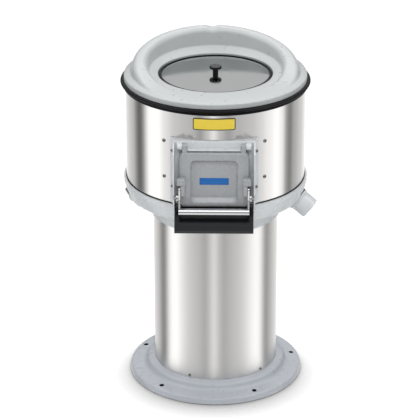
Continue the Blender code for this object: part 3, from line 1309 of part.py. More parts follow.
def bearing_housing():
    """Turned housing that hangs through the tub floor and holds both bearings."""
    bore = BEARING_RADIUS + GAP
    outer = BEARING_RADIUS + HOUSING_WALL
    lip = SHAFT_RADIUS + HOUSING_LIP
    flange_top = FLOOR_UNDER - GAP
    seat = HOUSING_BOTTOM + HOUSING_LIP
    step = HOUSING_TOP - BEARING_HEIGHT - GAP
    profile = [
        (bore, HOUSING_TOP), (bore, step), (lip, step), (lip, seat + BEARING_HEIGHT + GAP),
        (bore, seat + BEARING_HEIGHT + GAP), (bore, HOUSING_BOTTOM), (outer, HOUSING_BOTTOM),
        (outer, flange_top - HOUSING_FLANGE_WALL), (HOUSING_FLANGE_RADIUS, flange_top - HOUSING_FLANGE_WALL),
        (HOUSING_FLANGE_RADIUS, flange_top), (outer, flange_top), (outer, HOUSING_TOP),
    ]
    return lathe("bearing_housing", profile, cast_iron(), MEDIUM_ROUND)


def bearings():
    seat = HOUSING_BOTTOM + HOUSING_LIP
    places = {"upper_bearing": HOUSING_TOP - BEARING_HEIGHT, "lower_bearing": seat}
    inner = SHAFT_RADIUS + GAP
    for name, bottom in places.items():
        profile = [(inner, bottom), (BEARING_RADIUS, bottom), (BEARING_RADIUS, bottom + BEARING_HEIGHT),
                   (inner, bottom + BEARING_HEIGHT)]
        lathe(name, profile, polished_steel(), MEDIUM_ROUND)


# Belt drive and motor
def pulley(name, radius, shaft_radius, centre):
    """Grooveless wheel with a low rim at each side that keeps the belt on."""
    rim = radius + PULLEY_RIM
    wall = PULLEY_RIM_WALL
    profile = [(shaft_radius + GAP, 0), (rim, 0), (rim, wall), (radius, wall),
               (radius, PULLEY_HEIGHT - wall), (rim, PULLEY_HEIGHT - wall), (rim, PULLEY_HEIGHT),
               (shaft_radius + GAP, PULLEY_HEIGHT)]
    return lathe(name, profile, cast_iron(), MEDIUM_ROUND, centre)


def belt_arc(radius, centre, start, turn, steps):
    """Points of an arc in plan whose straight pieces stay outside the circle of that radius."""
    reach = radius / math.cos(turn / steps / 2)
    return [(reach * math.cos(start + turn * k / steps), centre + reach * math.sin(start + turn * k / steps))
            for k in range(steps + 1)]


def belt_outline(grow):
    """Track round both pulleys, in plan; grow is the distance outside the pulleys' faces."""
    large, small = DRIVEN_RADIUS + grow, MOTOR_PULLEY_RADIUS + grow
    lean = math.asin((large - small) / DRIVE_CENTRES)
    points = belt_arc(large, 0, lean, -math.pi - 2 * lean, BELT_LARGE_STEPS)
    return points + belt_arc(small, DRIVE_CENTRES, math.pi - lean, -math.pi + 2 * lean, BELT_SMALL_STEPS)


def drive_belt():
    belt = bmesh.new()
    low = DRIVEN_BOTTOM + (PULLEY_HEIGHT - BELT_HEIGHT) / 2
    high = low + BELT_HEIGHT
    rings = []
    for grow, height in ((GAP, low), (GAP + BELT_WALL, low), (GAP + BELT_WALL, high), (GAP, high)):
        rings.append([belt.verts.new((x, y, height)) for x, y in belt_outline(grow)])
    for ring, after in zip(rings, rings[1:] + rings[:1]):
        for k in range(len(ring)):
            beside = (k + 1) % len(ring)
            belt.faces.new((ring[k], ring[beside], after[beside], after[k]))
    return as_object("drive_belt", belt, black_rubber())


def motor():
    """Upright motor with cooling fins, fan cover and terminal box, flange up."""
    body_top = MOTOR_TOP - MOTOR_FLANGE_WALL
    body_low = MOTOR_TOP - MOTOR_LENGTH + MOTOR_FAN_COVER
    low = MOTOR_TOP - MOTOR_LENGTH
    fan_radius = MOTOR_RADIUS - FIN_DEPTH / 2
    profile = fillet(
        [(0, low), (fan_radius, low), (fan_radius, body_low), (MOTOR_RADIUS - FIN_DEPTH, body_low),
         (MOTOR_RADIUS - FIN_DEPTH, body_top), (MOTOR_FLANGE_RADIUS, body_top),
         (MOTOR_FLANGE_RADIUS, MOTOR_TOP), (0, MOTOR_TOP)],
        [0, FIN_DEPTH * 2, 0, 0, 0, 0, 0, 0],
    )
    centre = (0, DRIVE_CENTRES, 0)
    body = lathe("motor", profile, grey_paint(), MEDIUM_ROUND, centre)
    shell = bmesh.new()
    rings = []
    for height in (body_low + FIN_DEPTH, body_top - FIN_DEPTH):
        ring = []
        for k in range(FIN_COUNT * 4):
            angle = math.tau * k / (FIN_COUNT * 4)
            radius = MOTOR_RADIUS if k % 4 < 2 else MOTOR_RADIUS - FIN_DEPTH - GAP
            ring.append(shell.verts.new((radius * math.cos(angle), DRIVE_CENTRES + radius * math.sin(angle),
                                         height)))
        rings.append(ring)
    for k in range(FIN_COUNT * 4):
        beside = (k + 1) % (FIN_COUNT * 4)
        shell.faces.new((rings[0][k], rings[0][beside], rings[1][beside], rings[1][k]))
    shell.faces.new(rings[0])
    shell.faces.new(rings[1][::-1])
    add(body, as_object("fins_part", shell, grey_paint()))
    box_low = body_top - FIN_DEPTH * 2 - TERMINAL_HEIGHT
    add(body, box("terminal_part",
                  (-MOTOR_RADIUS - TERMINAL_PROUD, DRIVE_CENTRES - TERMINAL_WIDTH, box_low),
                  (-MOTOR_RADIUS + FIN_DEPTH * 2, DRIVE_CENTRES, box_low + TERMINAL_HEIGHT), grey_paint()))
    cut(body, rod("motor_bore_cut", (0, DRIVE_CENTRES, MOTOR_TOP - MOTOR_BORE_DEPTH),
                  (0, DRIVE_CENTRES, MOTOR_TOP + OVERRUN), MOTOR_SHAFT_RADIUS + SHAFT_AIR, grey_paint()))
    return body


def motor_shaft():
    return rod("motor_shaft", (0, DRIVE_CENTRES, MOTOR_TOP - MOTOR_BORE_DEPTH + GAP),
               (0, DRIVE_CENTRES, DRIVEN_TOP), MOTOR_SHAFT_RADIUS, polished_steel())


def motor_plate():
    """Disc under the pulleys, with welded spacers that reach up to the tub's locating ring."""
    low = MOTOR_PLATE_TOP - MOTOR_PLATE_WALL
    plate = prism("motor_plate", circle(MOTOR_PLATE_RADIUS, ROUND), "Z", low, MOTOR_PLATE_TOP, stainless())
    cut(plate, rod("motor_plate_cut", (0, DRIVE_CENTRES, low - OVERRUN),
                   (0, DRIVE_CENTRES, MOTOR_PLATE_TOP + OVERRUN), MOTOR_HOLE_RADIUS, stainless()))
    ring_outer = PEDESTAL_RADIUS - PEDESTAL_WALL - GAP
    reach = ring_outer - TUB_RING_WALL + PILLAR_INSET
    for k in range(PILLAR_COUNT):
        angle = PILLAR_ANGLE + math.tau * k / PILLAR_COUNT
        x, y = reach * math.cos(angle), reach * math.sin(angle)
        add(plate, rod("pillar_part", (x, y, low + GAP), (x, y, PILLAR_TOP), PILLAR_RADIUS, stainless(),
                       SMALL_ROUND))
    return plate


def build():
    for old in list(bpy.data.objects):
        bpy.data.objects.remove(old, do_unlink=True)
    base_flange()
    pedestal_tube()
    cable_gland()
    tub_casting()
    tub_floor()
    seam_gasket()
    outlet_gaskets()
    waste_outlet()
    blanking_plate()
    drum_shell()
    abrasive_liner()
    rim_gasket()
    door_frame()
    hinge_pins()
    chute_tray()
    water_inlet()
    inlet_nut()
    bearing_housing()
    bearings()
    shaft_seal()
    drive_belt()
    motor()
    motor_plate()

    cover_joint = axis_empty("cover_joint", (0, 0, COVER_BOTTOM))
    hang(top_cover(), cover_joint)
    lid_joint = axis_empty("lid_joint", (0, 0, LID_BOTTOM), cover_joint)
    for piece in (inner_lid(), lid_seal(), lid_knob()):
        hang(piece, lid_joint)

    door_joint = axis_empty("door_joint", front(0, HINGE_AXIS_REACH, HINGE_HEIGHT))
    for piece in (discharge_door(), door_seal(), *handle_pins()):
        hang(piece, door_joint)
    handle_joint = axis_empty("handle_joint", front(0, PIVOT_REACH, PIVOT_HEIGHT), door_joint)
    for piece in (latch_handle(), *latch_rollers()):
        hang(piece, handle_joint)

    plate_joint = axis_empty("plate_joint", (0, 0, PLATE_BOTTOM))
    driven = pulley("driven_pulley", DRIVEN_RADIUS, SHAFT_RADIUS, (0, 0, DRIVEN_BOTTOM))
    for piece in (peeling_plate(), plate_cap(), drive_shaft(), driven):
        hang(piece, plate_joint)
    motor_joint = axis_empty("motor_joint", (0, DRIVE_CENTRES, DRIVEN_BOTTOM))
    small = pulley("motor_pulley", MOTOR_PULLEY_RADIUS, MOTOR_SHAFT_RADIUS, (0, DRIVE_CENTRES, DRIVEN_BOTTOM))
    for piece in (motor_shaft(), small):
        hang(piece, motor_joint)


build()
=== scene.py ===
# %% [markdown]
# A potato peeler machine stands in a pale studio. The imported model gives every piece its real
# size and place, and this lesson dresses it: finer round surfaces, real finishes, small
# fasteners, light and camera. The frame comes first, because each new piece is measured from it
# and rides on one of its bodies.

# %% Load the frame
import json
import math

import bmesh
import bpy
from mathutils import Matrix, Vector


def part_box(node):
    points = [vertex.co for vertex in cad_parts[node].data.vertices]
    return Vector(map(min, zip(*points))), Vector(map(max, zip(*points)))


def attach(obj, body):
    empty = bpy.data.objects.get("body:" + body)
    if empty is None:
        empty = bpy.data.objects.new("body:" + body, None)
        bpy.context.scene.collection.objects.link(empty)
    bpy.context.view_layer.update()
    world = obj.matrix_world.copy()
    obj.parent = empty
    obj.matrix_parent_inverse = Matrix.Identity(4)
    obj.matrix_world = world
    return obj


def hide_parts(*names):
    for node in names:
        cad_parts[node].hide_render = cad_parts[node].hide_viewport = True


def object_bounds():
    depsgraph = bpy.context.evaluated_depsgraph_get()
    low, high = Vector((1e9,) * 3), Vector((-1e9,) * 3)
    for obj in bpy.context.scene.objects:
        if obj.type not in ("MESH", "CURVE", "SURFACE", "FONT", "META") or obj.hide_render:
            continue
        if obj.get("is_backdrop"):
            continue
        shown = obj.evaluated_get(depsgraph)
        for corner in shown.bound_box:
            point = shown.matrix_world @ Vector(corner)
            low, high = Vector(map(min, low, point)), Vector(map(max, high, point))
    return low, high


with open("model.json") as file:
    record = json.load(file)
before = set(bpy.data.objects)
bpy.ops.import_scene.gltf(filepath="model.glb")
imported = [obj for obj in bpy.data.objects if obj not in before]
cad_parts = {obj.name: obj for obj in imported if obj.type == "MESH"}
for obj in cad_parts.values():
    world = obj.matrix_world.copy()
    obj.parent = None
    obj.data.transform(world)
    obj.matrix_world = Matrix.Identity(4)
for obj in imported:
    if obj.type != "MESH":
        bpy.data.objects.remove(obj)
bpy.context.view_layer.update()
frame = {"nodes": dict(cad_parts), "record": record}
MM = 0.001

# %% [markdown]
# A shader is a small graph, so one helper adds a node, sets its properties and joins its inputs.
# Colours are written as designers write them, in sRGB hex, and turned to the linear values that
# light uses. Every object here keeps its origin at the machine's foot, so Object coordinates are
# metres on the real machine, and a pattern's scale is simply one over its real size.

# %% Shader helpers
MIX_A, MIX_B, MIX_RESULT = 6, 7, 2     # a Mix node's colour sockets
NOISE_LOW, NOISE_HIGH = 0.3, 0.7       # a noise hardly leaves this range
BUMP_SHARE = 0.12


def linear(hex_colour):
    """An sRGB hex colour as linear red, green, blue and alpha."""
    parts = [int(hex_colour[place:place + 2], 16) / 255 for place in (0, 2, 4)]
    return [*(part / 12.92 if part <= 0.04045 else ((part + 0.055) / 1.055) ** 2.4
              for part in parts), 1]


def per_mm(size):
    """The scale at which a pattern repeats every so many millimetres."""
    return 1 / (size * MM)


def node(tree, kind, inputs=None, **settings):
    """Add one shader node with its settings, and fill or link its inputs."""
    added = tree.nodes.new("ShaderNode" + kind)
    for name, value in settings.items():
        setattr(added, name, value)
    for name, value in (inputs or {}).items():
        if isinstance(value, bpy.types.NodeSocket):
            tree.links.new(value, added.inputs[name])
        else:
            added.inputs[name].default_value = value
    return added


def finish(name, colour, roughness, metallic=0.0, **sockets):
    """A material with one Principled shader; sockets are its inputs with _ for a space."""
    made = bpy.data.materials.new(name)
    made.use_nodes = True
    shader = made.node_tree.nodes["Principled BSDF"]
    values = {"Base_Color": linear(colour), "Roughness": roughness, "Metallic": metallic, **sockets}
    for socket, value in values.items():
        shader.inputs[socket.replace("_", " ")].default_value = value
    return made


def pattern(made, size, detail=2.0, stretch=(1, 1, 1)):
    """Noise with features of a real size in mm; stretch squeezes it along X, Y or Z."""
    tree = made.node_tree
    place = node(tree, "TexCoord").outputs["Object"]
    scaled = node(tree, "VectorMath", {0: place, 1: stretch}, operation="MULTIPLY")
    return node(tree, "TexNoise", {"Vector": scaled.outputs["Vector"], "Scale": per_mm(size),
                                   "Detail": detail}).outputs["Fac"]


def feed(made, socket, source):
    """Join a node's output to an input of the material's shader."""
    made.node_tree.links.new(source, made.node_tree.nodes["Principled BSDF"].inputs[socket])


def vary(made, source, smooth, rough):
    """Let a noise move the shader's roughness between two values."""
    ranged = node(made.node_tree, "MapRange", {
        "Value": source, "From Min": NOISE_LOW, "From Max": NOISE_HIGH,
        "To Min": smooth, "To Max": rough})
    feed(made, "Roughness", ranged.outputs["Result"])


def mottle(made, patch, smooth, rough):
    """Let the roughness wander between two values, in patches of a size in mm."""
    vary(made, pattern(made, patch), smooth, rough)


def tint(made, source, dark, light):
    """Let a noise move the shader's colour between two close tones."""
    mixed = node(made.node_tree, "Mix", {0: source, MIX_A: linear(dark), MIX_B: linear(light)},
                 data_type="RGBA")
    feed(made, "Base Color", mixed.outputs[MIX_RESULT])


def raise_bumps(made, source, height):
    """Use a noise as relief, height in mm."""
    bump = node(made.node_tree, "Bump", {"Strength": BUMP_SHARE, "Distance": height * MM,
                                         "Height": source})
    feed(made, "Normal", bump.outputs["Normal"])


print("a 5 mm pattern has a scale of", round(per_mm(5)))


# %% [markdown]
# Austenitic stainless sheet is rolled, then brushed round the drum with a belt. The scratches run
# round the machine, so a reflection stays narrow sideways and smears up and down. That gives the
# tall soft bands of light. Anisotropy does the smear, a radial tangent gives its direction, and a
# noise squeezed along Z gives the brushed lines. Real lines are a tenth of a millimetre apart;
# they are drawn 1.5 mm apart, because finer ones don't show at this size.

# %% Brushed stainless
BRUSH_LINE = 1.5                       # mm between drawn brush lines
BRUSH_PATCH = 60                       # mm, the noise's size before it is squeezed into lines
BRUSH_SMEAR = 0.75


def brushed(name, smooth, rough, dark, light):
    """Sheet brushed round the upright axis, with its roughness and tone between two values."""
    made = finish(name, light, smooth, 1.0, Anisotropic=BRUSH_SMEAR, Anisotropic_Rotation=0.25)
    around = node(made.node_tree, "Tangent", direction_type="RADIAL", axis="Z")
    feed(made, "Tangent", around.outputs["Tangent"])
    lines = pattern(made, BRUSH_PATCH, 3, (1, 1, BRUSH_PATCH / BRUSH_LINE))
    vary(made, lines, smooth, rough)
    tint(made, lines, dark, light)
    return made


drum_stainless = brushed("brushed_stainless_drum", 0.15, 0.18, "D0CFCD", "D6D5D3")
tube_stainless = brushed("brushed_stainless_tube", 0.29, 0.33, "E2E1DF", "E6E5E3")
print("brushed stainless: lines", BRUSH_LINE, "mm apart")

# %% [markdown]
# The lid is the same steel with a mirror polish, and the latch handle is chromed bar. Both are
# plain metals with low roughness; faint swirls from polishing keep them from looking like a
# perfect mirror.

# %% Polished and chromed steel
polished_steel = finish("mirror_polished_stainless", "ACAEAE", 0.10, 1.0)
mottle(polished_steel, 30, 0.07, 0.14)
chromed_steel = finish("chromed_steel", "C6C7C8", 0.10, 1.0)
mottle(chromed_steel, 12, 0.07, 0.15)
zinc_plated_steel = finish("zinc_plated_steel", "8F8F8C", 0.35, 1.0)
mottle(zinc_plated_steel, 3, 0.28, 0.42)
print("three bright steels")

# %% [markdown]
# The tub, the door and the base are sand-cast aluminium under baked enamel. Spray paint that
# flows before it is baked dries with orange peel, low waves a few millimetres wide. They hardly
# show as shape, but they break up highlights. Each casting has its own grey, so one function
# makes them all.

# %% Baked enamel on castings
ORANGE_PEEL, PEEL_HEIGHT = 5, 0.012    # mm from wave to wave, and mm high
TONE_PATCH, GLOSS_PATCH, GLOSS_SWING = 90, 25, 0.04
PAINT_IOR, TOPCOAT = 1.5, 0.15


def enamel(name, dark, light, roughness, gloss=0.0):
    """Paint between two tones; gloss is the share that a clear topcoat covers."""
    made = finish(name, light, roughness, IOR=PAINT_IOR, Coat_Weight=gloss, Coat_Roughness=TOPCOAT)
    tint(made, pattern(made, TONE_PATCH), dark, light)
    mottle(made, GLOSS_PATCH, roughness - GLOSS_SWING, roughness + GLOSS_SWING)
    raise_bumps(made, pattern(made, ORANGE_PEEL), PEEL_HEIGHT)
    return made


casting_enamel = enamel("light_grey_baked_enamel", "CFD3D6", "D4D7D9", 0.27)
door_enamel = enamel("slate_grey_baked_enamel", "9A9DA1", "A0A3A6", 0.27, 1.0)
base_enamel = enamel("blue_grey_baked_enamel", "B5BAC1", "BBC0C7", 0.30)
motor_enamel = enamel("machine_grey_enamel", "3E4A52", "46535B", 0.45)
print("four enamels, waves", ORANGE_PEEL, "mm apart")

# %% [markdown]
# The top cover is glass-filled polyester pressed in a mould. The mould's fine texture makes its
# gloss soft, and its colour is a little warmer than the painted castings.

# %% Moulded polyester
MOULD_GRAIN = 1.2                      # mm, coarser than the real 0.2 mm so that it shows close up
moulded_polyester = finish("grey_moulded_polyester", "AEB2B2", 0.30, IOR=1.54)
tint(moulded_polyester, pattern(moulded_polyester, 120), "ACB0B0", "B1B4B4")
mottle(moulded_polyester, 20, 0.27, 0.33)
raise_bumps(moulded_polyester, pattern(moulded_polyester, MOULD_GRAIN), 0.004)
print("moulded polyester, grain", MOULD_GRAIN, "mm")

# %% [markdown]
# Black parts differ by their gloss. EPDM rubber is dull with a slight bloom, the phenolic knob is
# glossy from its mould, and the chute is steel sheet under black gloss enamel.

# %% Rubber, phenolic and black gloss
epdm_rubber = finish("extruded_epdm_rubber", "090A0D", 0.42, IOR=1.5, Specular_IOR_Level=0.15)
tint(epdm_rubber, pattern(epdm_rubber, 15), "08090C", "0C0D10")
mottle(epdm_rubber, 6, 0.36, 0.50)
phenolic = finish("moulded_black_phenolic", "070809", 0.2, IOR=1.6, Specular_IOR_Level=0.3)
mottle(phenolic, 8, 0.13, 0.20)
black_gloss = finish("black_gloss_enamel_on_sheet", "14171B", 0.16, IOR=1.5)
raise_bumps(black_gloss, pattern(black_gloss, 9), 0.03)
nylon = finish("black_nylon", "15161A", 0.45, IOR=1.53)
mottle(nylon, 4, 0.40, 0.52)
print("rubber, phenolic, gloss and nylon")

# %% [markdown]
# Inside, silicon carbide grit is glued to the liner and to the plate. Its grains are about 1.5
# mm and deep grey. A cell pattern gives both the relief and a painted sparkle: the colour lightens
# towards each cell's edge, as painted highlight for the small bright faces.

# %% Abrasive grit, iron and brass
GRIT = 1.6                             # mm, grain size
carbide_grit = finish("silicon_carbide_grit", "2C2B2A", 0.8)
grit_tree = carbide_grit.node_tree
grain_cells_and_painted_sparkle = node(grit_tree, "TexVoronoi", {
    "Vector": node(grit_tree, "TexCoord").outputs["Object"], "Scale": per_mm(GRIT)})
# Painted highlight: the tone lightens towards each cell's edge for the grit's sparkle.
tint(carbide_grit, grain_cells_and_painted_sparkle.outputs["Distance"], "1F1E1D", "55524E")
raise_bumps(carbide_grit, grain_cells_and_painted_sparkle.outputs["Distance"], 0.8)
cast_iron = finish("machined_cast_iron", "4C4C4B", 0.5, 0.85)
mottle(cast_iron, 2, 0.42, 0.6)
brass = finish("turned_brass", "C9A25A", 0.28, 1.0)
mottle(brass, 5, 0.22, 0.34)
print("grit of", GRIT, "mm, iron and brass")

# %% [markdown]
# Each node of the frame gets the finish of its record slot. Finer pieces stand for most of them
# later on; the ones that stay as they are sit inside the machine, where few eyes see them.

# %% Dress the frame's own nodes
SLOT_FINISH = {
    "base_paint": base_enamel, "stainless": tube_stainless, "polished_steel": chromed_steel,
    "grey_paint": casting_enamel, "door_paint": door_enamel, "motor_paint": motor_enamel,
    "grey_plastic": moulded_polyester, "black_rubber": epdm_rubber, "black_plastic": phenolic,
    "abrasive": carbide_grit, "cast_iron": cast_iron, "brass": brass,
}
slot_of = {row["node"]: row["material_slot"] for row in frame["record"]["subparts"]}
OWN_FINISH = {"chute_tray": black_gloss, "cable_gland": nylon}
for name, slot in slot_of.items():
    piece = frame["nodes"][name]
    piece.data.materials.clear()
    piece.data.materials.append(OWN_FINISH.get(name, SLOT_FINISH[slot]))
print("dressed", len(slot_of), "nodes")

# %% [markdown]
# The camera stands as far away as the photographer's did, looking down a little onto the lid. A
# long lens keeps the upright sides nearly parallel. Its shift only sets the machine a touch off
# the middle.

# %% Camera
PHOTO = 420                            # pixels each way
FOCAL_PIXELS = 2290
AXIS_X, AIM_Y = 215.5, 213.4           # the machine's axis and the aim point in the photograph
CAMERA_REACH, CAMERA_HEIGHT, CAMERA_TURN = 6.2, 3.175, math.radians(0.8)
AIM_HEIGHT = 0.5
SENSOR = 36.0


def in_scene(name, data):
    """Put a mesh, a lamp or a camera into the scene."""
    made = bpy.data.objects.new(name, data)
    bpy.context.scene.collection.objects.link(made)
    return made


def aimed(name, data, place):
    """Set up a lamp or a camera that looks at the machine's middle."""
    made = in_scene(name, data)
    made.location = place
    sight = Vector((0, 0, AIM_HEIGHT)) - made.location
    made.rotation_euler = sight.to_track_quat("-Z", "Y").to_euler()
    return made


camera_data = bpy.data.cameras.new("studio_camera")
camera_data.sensor_width = SENSOR
camera_data.lens = SENSOR * FOCAL_PIXELS / PHOTO
camera_data.shift_x = (PHOTO / 2 - AXIS_X) / PHOTO
camera_data.shift_y = (AIM_Y - PHOTO / 2) / PHOTO
camera_data.clip_end = 60
bpy.context.scene.camera = aimed("studio_camera", camera_data, (
    CAMERA_REACH * math.sin(CAMERA_TURN), -CAMERA_REACH * math.cos(CAMERA_TURN), CAMERA_HEIGHT))
bpy.context.scene.view_settings.view_transform = "Standard"
print("lens in mm:", round(camera_data.lens, 1))

# %% [markdown]
# Bright metal shows its surroundings more than its own colour. Product photographers put large
# white panels beside a steel drum, and dark cards between them, so that the drum reads as round.
# Here the world carries that ring of panels and cards, by the angle round the machine, with a
# darker layer along the horizon that draws dark lines on the handle bar. Only glossy rays see it.
# To the camera the world is plain white, and for soft light it is an even grey.

# %% Studio surroundings
STUDIO_RING = [                        # degrees round the machine from the front, and brightness
    (-180, 1.45), (-152, 0.95), (-134, 0.78), (-128, 0.68), (-121, 0.36), (-115, 0.18),
    (-110, 0.20), (-105, 0.42), (-100, 0.95), (-94, 1.60), (-78, 1.65), (-66, 1.20), (-52, 0.90),
    (-38, 0.80), (-27, 0.72), (-19, 0.50), (-10, 0.82), (-2, 1.28), (7, 0.78), (17, 0.55),
    (27, 0.72), (48, 0.85), (60, 1.05), (72, 1.35), (86, 1.65), (95, 1.40), (104, 0.48),
    (111, 0.28), (122, 0.62), (140, 0.85), (160, 1.10), (180, 1.45),
]
STUDIO_LAYERS = [                      # degrees above the horizon, and share of the ring left
    (-90, 1.0), (-15, 1.0), (-7, 0.30), (9, 0.22), (19, 0.60), (35, 0.75), (50, 2.20), (68, 2.20),
    (80, 0.50), (90, 0.40),
]
FULL_TURN = 360
SKY_LIGHT = 0.34


def direct_rays(tree):
    """One for rays that come from the camera, also through glass, and zero for all others."""
    ray = node(tree, "LightPath").outputs
    return node(tree, "Math", {0: ray["Is Camera Ray"], 1: ray["Is Transmission Ray"]},
                operation="MAXIMUM").outputs[0]


world = bpy.data.worlds.new("studio")
world.use_nodes = True
bpy.context.scene.world = world
sky = world.node_tree
sky.nodes.clear()
axes = node(sky, "SeparateXYZ", {"Vector": node(sky, "TexCoord").outputs["Generated"]}).outputs
front = node(sky, "Math", {0: axes["Y"], 1: -1.0}, operation="MULTIPLY").outputs[0]
turn = node(sky, "Math", {0: axes["X"], 1: front}, operation="ARCTAN2").outputs[0]
round_share = node(sky, "MapRange", {"Value": turn, "From Min": -math.pi, "From Max": math.pi})
height_share = node(sky, "MapRange", {"Value": axes["Z"], "From Min": -1.0, "From Max": 1.0})
ring_stops = [(degrees / FULL_TURN + 0.5, level) for degrees, level in STUDIO_RING]
layer_stops = [((1 + math.sin(math.radians(degrees))) / 2, level)
               for degrees, level in STUDIO_LAYERS]
levels = []
for share, stops in ((round_share, ring_stops), (height_share, layer_stops)):
    ramp = node(sky, "ValToRGB", {"Fac": share.outputs["Result"]})
    ramp.color_ramp.interpolation = "EASE"
    elements = ramp.color_ramp.elements
    while len(elements) < len(stops):
        elements.new(0.5)
    for element, (place, level) in zip(elements, stops):
        element.position = place
        element.color = (level, level, level, 1)
    levels.append(ramp.outputs["Color"])
ring = node(sky, "Mix", {0: 1.0, MIX_A: levels[0], MIX_B: levels[1]}, data_type="RGBA",
            blend_type="MULTIPLY")
dim, white = [SKY_LIGHT, SKY_LIGHT, SKY_LIGHT, 1], [1, 1, 1, 1]
reflected = node(sky, "Mix", {0: node(sky, "LightPath").outputs["Is Glossy Ray"], MIX_A: dim,
                              MIX_B: ring.outputs[MIX_RESULT]}, data_type="RGBA")
shown = node(sky, "Mix", {0: direct_rays(sky), MIX_A: reflected.outputs[MIX_RESULT],
                          MIX_B: white}, data_type="RGBA")
background = node(sky, "Background", {"Color": shown.outputs[MIX_RESULT], "Strength": 1.0})
node(sky, "OutputWorld", {"Surface": background.outputs[0]})
print("ring of", len(STUDIO_RING), "stops and", len(STUDIO_LAYERS), "layers")

# %% [markdown]
# The floor has to be white paper that still keeps the machine's shadow. For camera rays most of
# its brightness is its own glow, and a painted shadow dims that glow close to the foot, where an
# occlusion test finds little open sky; a small part that the panels light keeps their real soft
# shadow. Metal doesn't see it, because the ring goes on below.

# %% Floor
FLOOR_REACH = 14.0
CONTACT_REACH = 0.21                   # m, how far the painted shadow round the foot spreads
OPEN_LOW, OPEN_HIGH = 0.43, 0.93       # open shares of the sky between which it brightens
# The floor's glow where the painted shadow is darkest, and on open paper
FOOT_GLOW, FLOOR_GLOW = 0.02, 1.0
PAINTED_SHADOW_LEAN = (0, 0.45, 0.893)            # the occlusion test leans back and up, so the painted shadow falls forward
floor_mesh = bmesh.new()
bmesh.ops.create_grid(floor_mesh, x_segments=1, y_segments=1, size=FLOOR_REACH)
floor_data = bpy.data.meshes.new("floor")
floor_mesh.to_mesh(floor_data)
floor_mesh.free()
floor = in_scene("floor", floor_data)
floor.visible_glossy = False
floor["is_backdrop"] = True
paper = bpy.data.materials.new("white_paper_floor")
paper.use_nodes = True
sheet_tree = paper.node_tree
sheet_tree.nodes.clear()
matt = node(sheet_tree, "BsdfDiffuse", {"Color": linear("F0F0F0")})
shaded = node(sheet_tree, "BsdfDiffuse", {"Color": linear("646464")})
leaning = node(sheet_tree, "CombineXYZ", dict(zip("XYZ", PAINTED_SHADOW_LEAN)))
# Painted shadow: the occlusion test dims the floor's own glow near the foot.
open_share = node(sheet_tree, "AmbientOcclusion", {
    "Distance": CONTACT_REACH, "Normal": leaning.outputs["Vector"]}).outputs["AO"]
level = node(sheet_tree, "MapRange", {
    "Value": open_share, "From Min": OPEN_LOW, "From Max": OPEN_HIGH,
    "To Min": FOOT_GLOW, "To Max": FLOOR_GLOW})
glow = node(sheet_tree, "Emission", {"Color": white, "Strength": level.outputs["Result"]})
lit_part_and_painted_shadow = node(sheet_tree, "AddShader", {0: shaded.outputs[0], 1: glow.outputs[0]})
mixed = node(sheet_tree, "MixShader", {
    0: direct_rays(sheet_tree), 1: matt.outputs[0], 2: lit_part_and_painted_shadow.outputs[0]})
node(sheet_tree, "OutputMaterial", {"Surface": mixed.outputs[0]})
floor_data.materials.append(paper)
print("floor", 2 * FLOOR_REACH, "m wide")

# %% [markdown]
# Four soft panels light the paint: a wide one overhead, one on each side and one high in front.
# Their size sets how soft the shadows are. Metal doesn't see them, because it has the studio
# ring.

# %% Soft panels
PANELS = {                             # name: place, width and height in metres, watts
    "overhead": ((0.0, 0.6, 3.3), (1.9, 1.9), 48.0),
    "left": ((-2.6, -1.2, 1.7), (1.4, 2.2), 15.0),
    "right": ((2.6, -1.0, 1.7), (1.4, 2.2), 13.0),
    "front": ((0.2, -3.0, 4.0), (2.2, 1.4), 84.0),
}
for name, (place, (width, height), watts) in PANELS.items():
    panel_data = bpy.data.lights.new(name + "_panel", "AREA")
    panel_data.shape = "RECTANGLE"
    panel_data.size, panel_data.size_y = width, height
    panel_data.energy = watts
    aimed(name + "_panel", panel_data, place).visible_glossy = False
print("panels:", ", ".join(PANELS))

# %% [markdown]
# The frame's round pieces have 32 flat sides, enough to test the machine but not to look at. A
# lathe would turn them from one profile, so that is what is done again here. First the profile is
# read from the frame's own node on one half plane, and its small fillets are rounded once more.

# %% Outline helpers
TOUCH = 0.00002                        # points closer than this are one point
ARC_TURN = (math.radians(4), math.radians(56))     # corners that belong to a fillet
CORNER_SHARE = 0.25                    # of each side, cut off such a corner
UP = Vector((0, 0, 1))
ROUND_STEPS, SOFT_STEPS = 6, 3


def rounded(points, radii, steps=ROUND_STEPS):
    """Round the corners of a closed outline, with one radius for all or one for each corner."""
    outline = []
    for index, corner in enumerate(points):
        radius = radii[index] if isinstance(radii, (list, tuple)) else radii
        here = Vector(corner)
        before = Vector(points[index - 1]) - here
        after = Vector(points[(index + 1) % len(points)]) - here
        if radius <= 0:
            outline.append(tuple(here))
            continue
        half = before.angle(after) / 2
        cut = min(radius / math.tan(half), before.length / 2, after.length / 2)
        radius = cut * math.tan(half)
        between = (before.normalized() + after.normalized()).normalized()
        middle = here + between * (radius / math.sin(half))
        start = here + before.normalized() * cut - middle
        turn = start.angle_signed(here + after.normalized() * cut - middle)
        for step in range(steps + 1):
            c, s = math.cos(-turn * step / steps), math.sin(-turn * step / steps)
            outline.append((middle.x + start.x * c - start.y * s,
                            middle.y + start.x * s + start.y * c))
    return outline


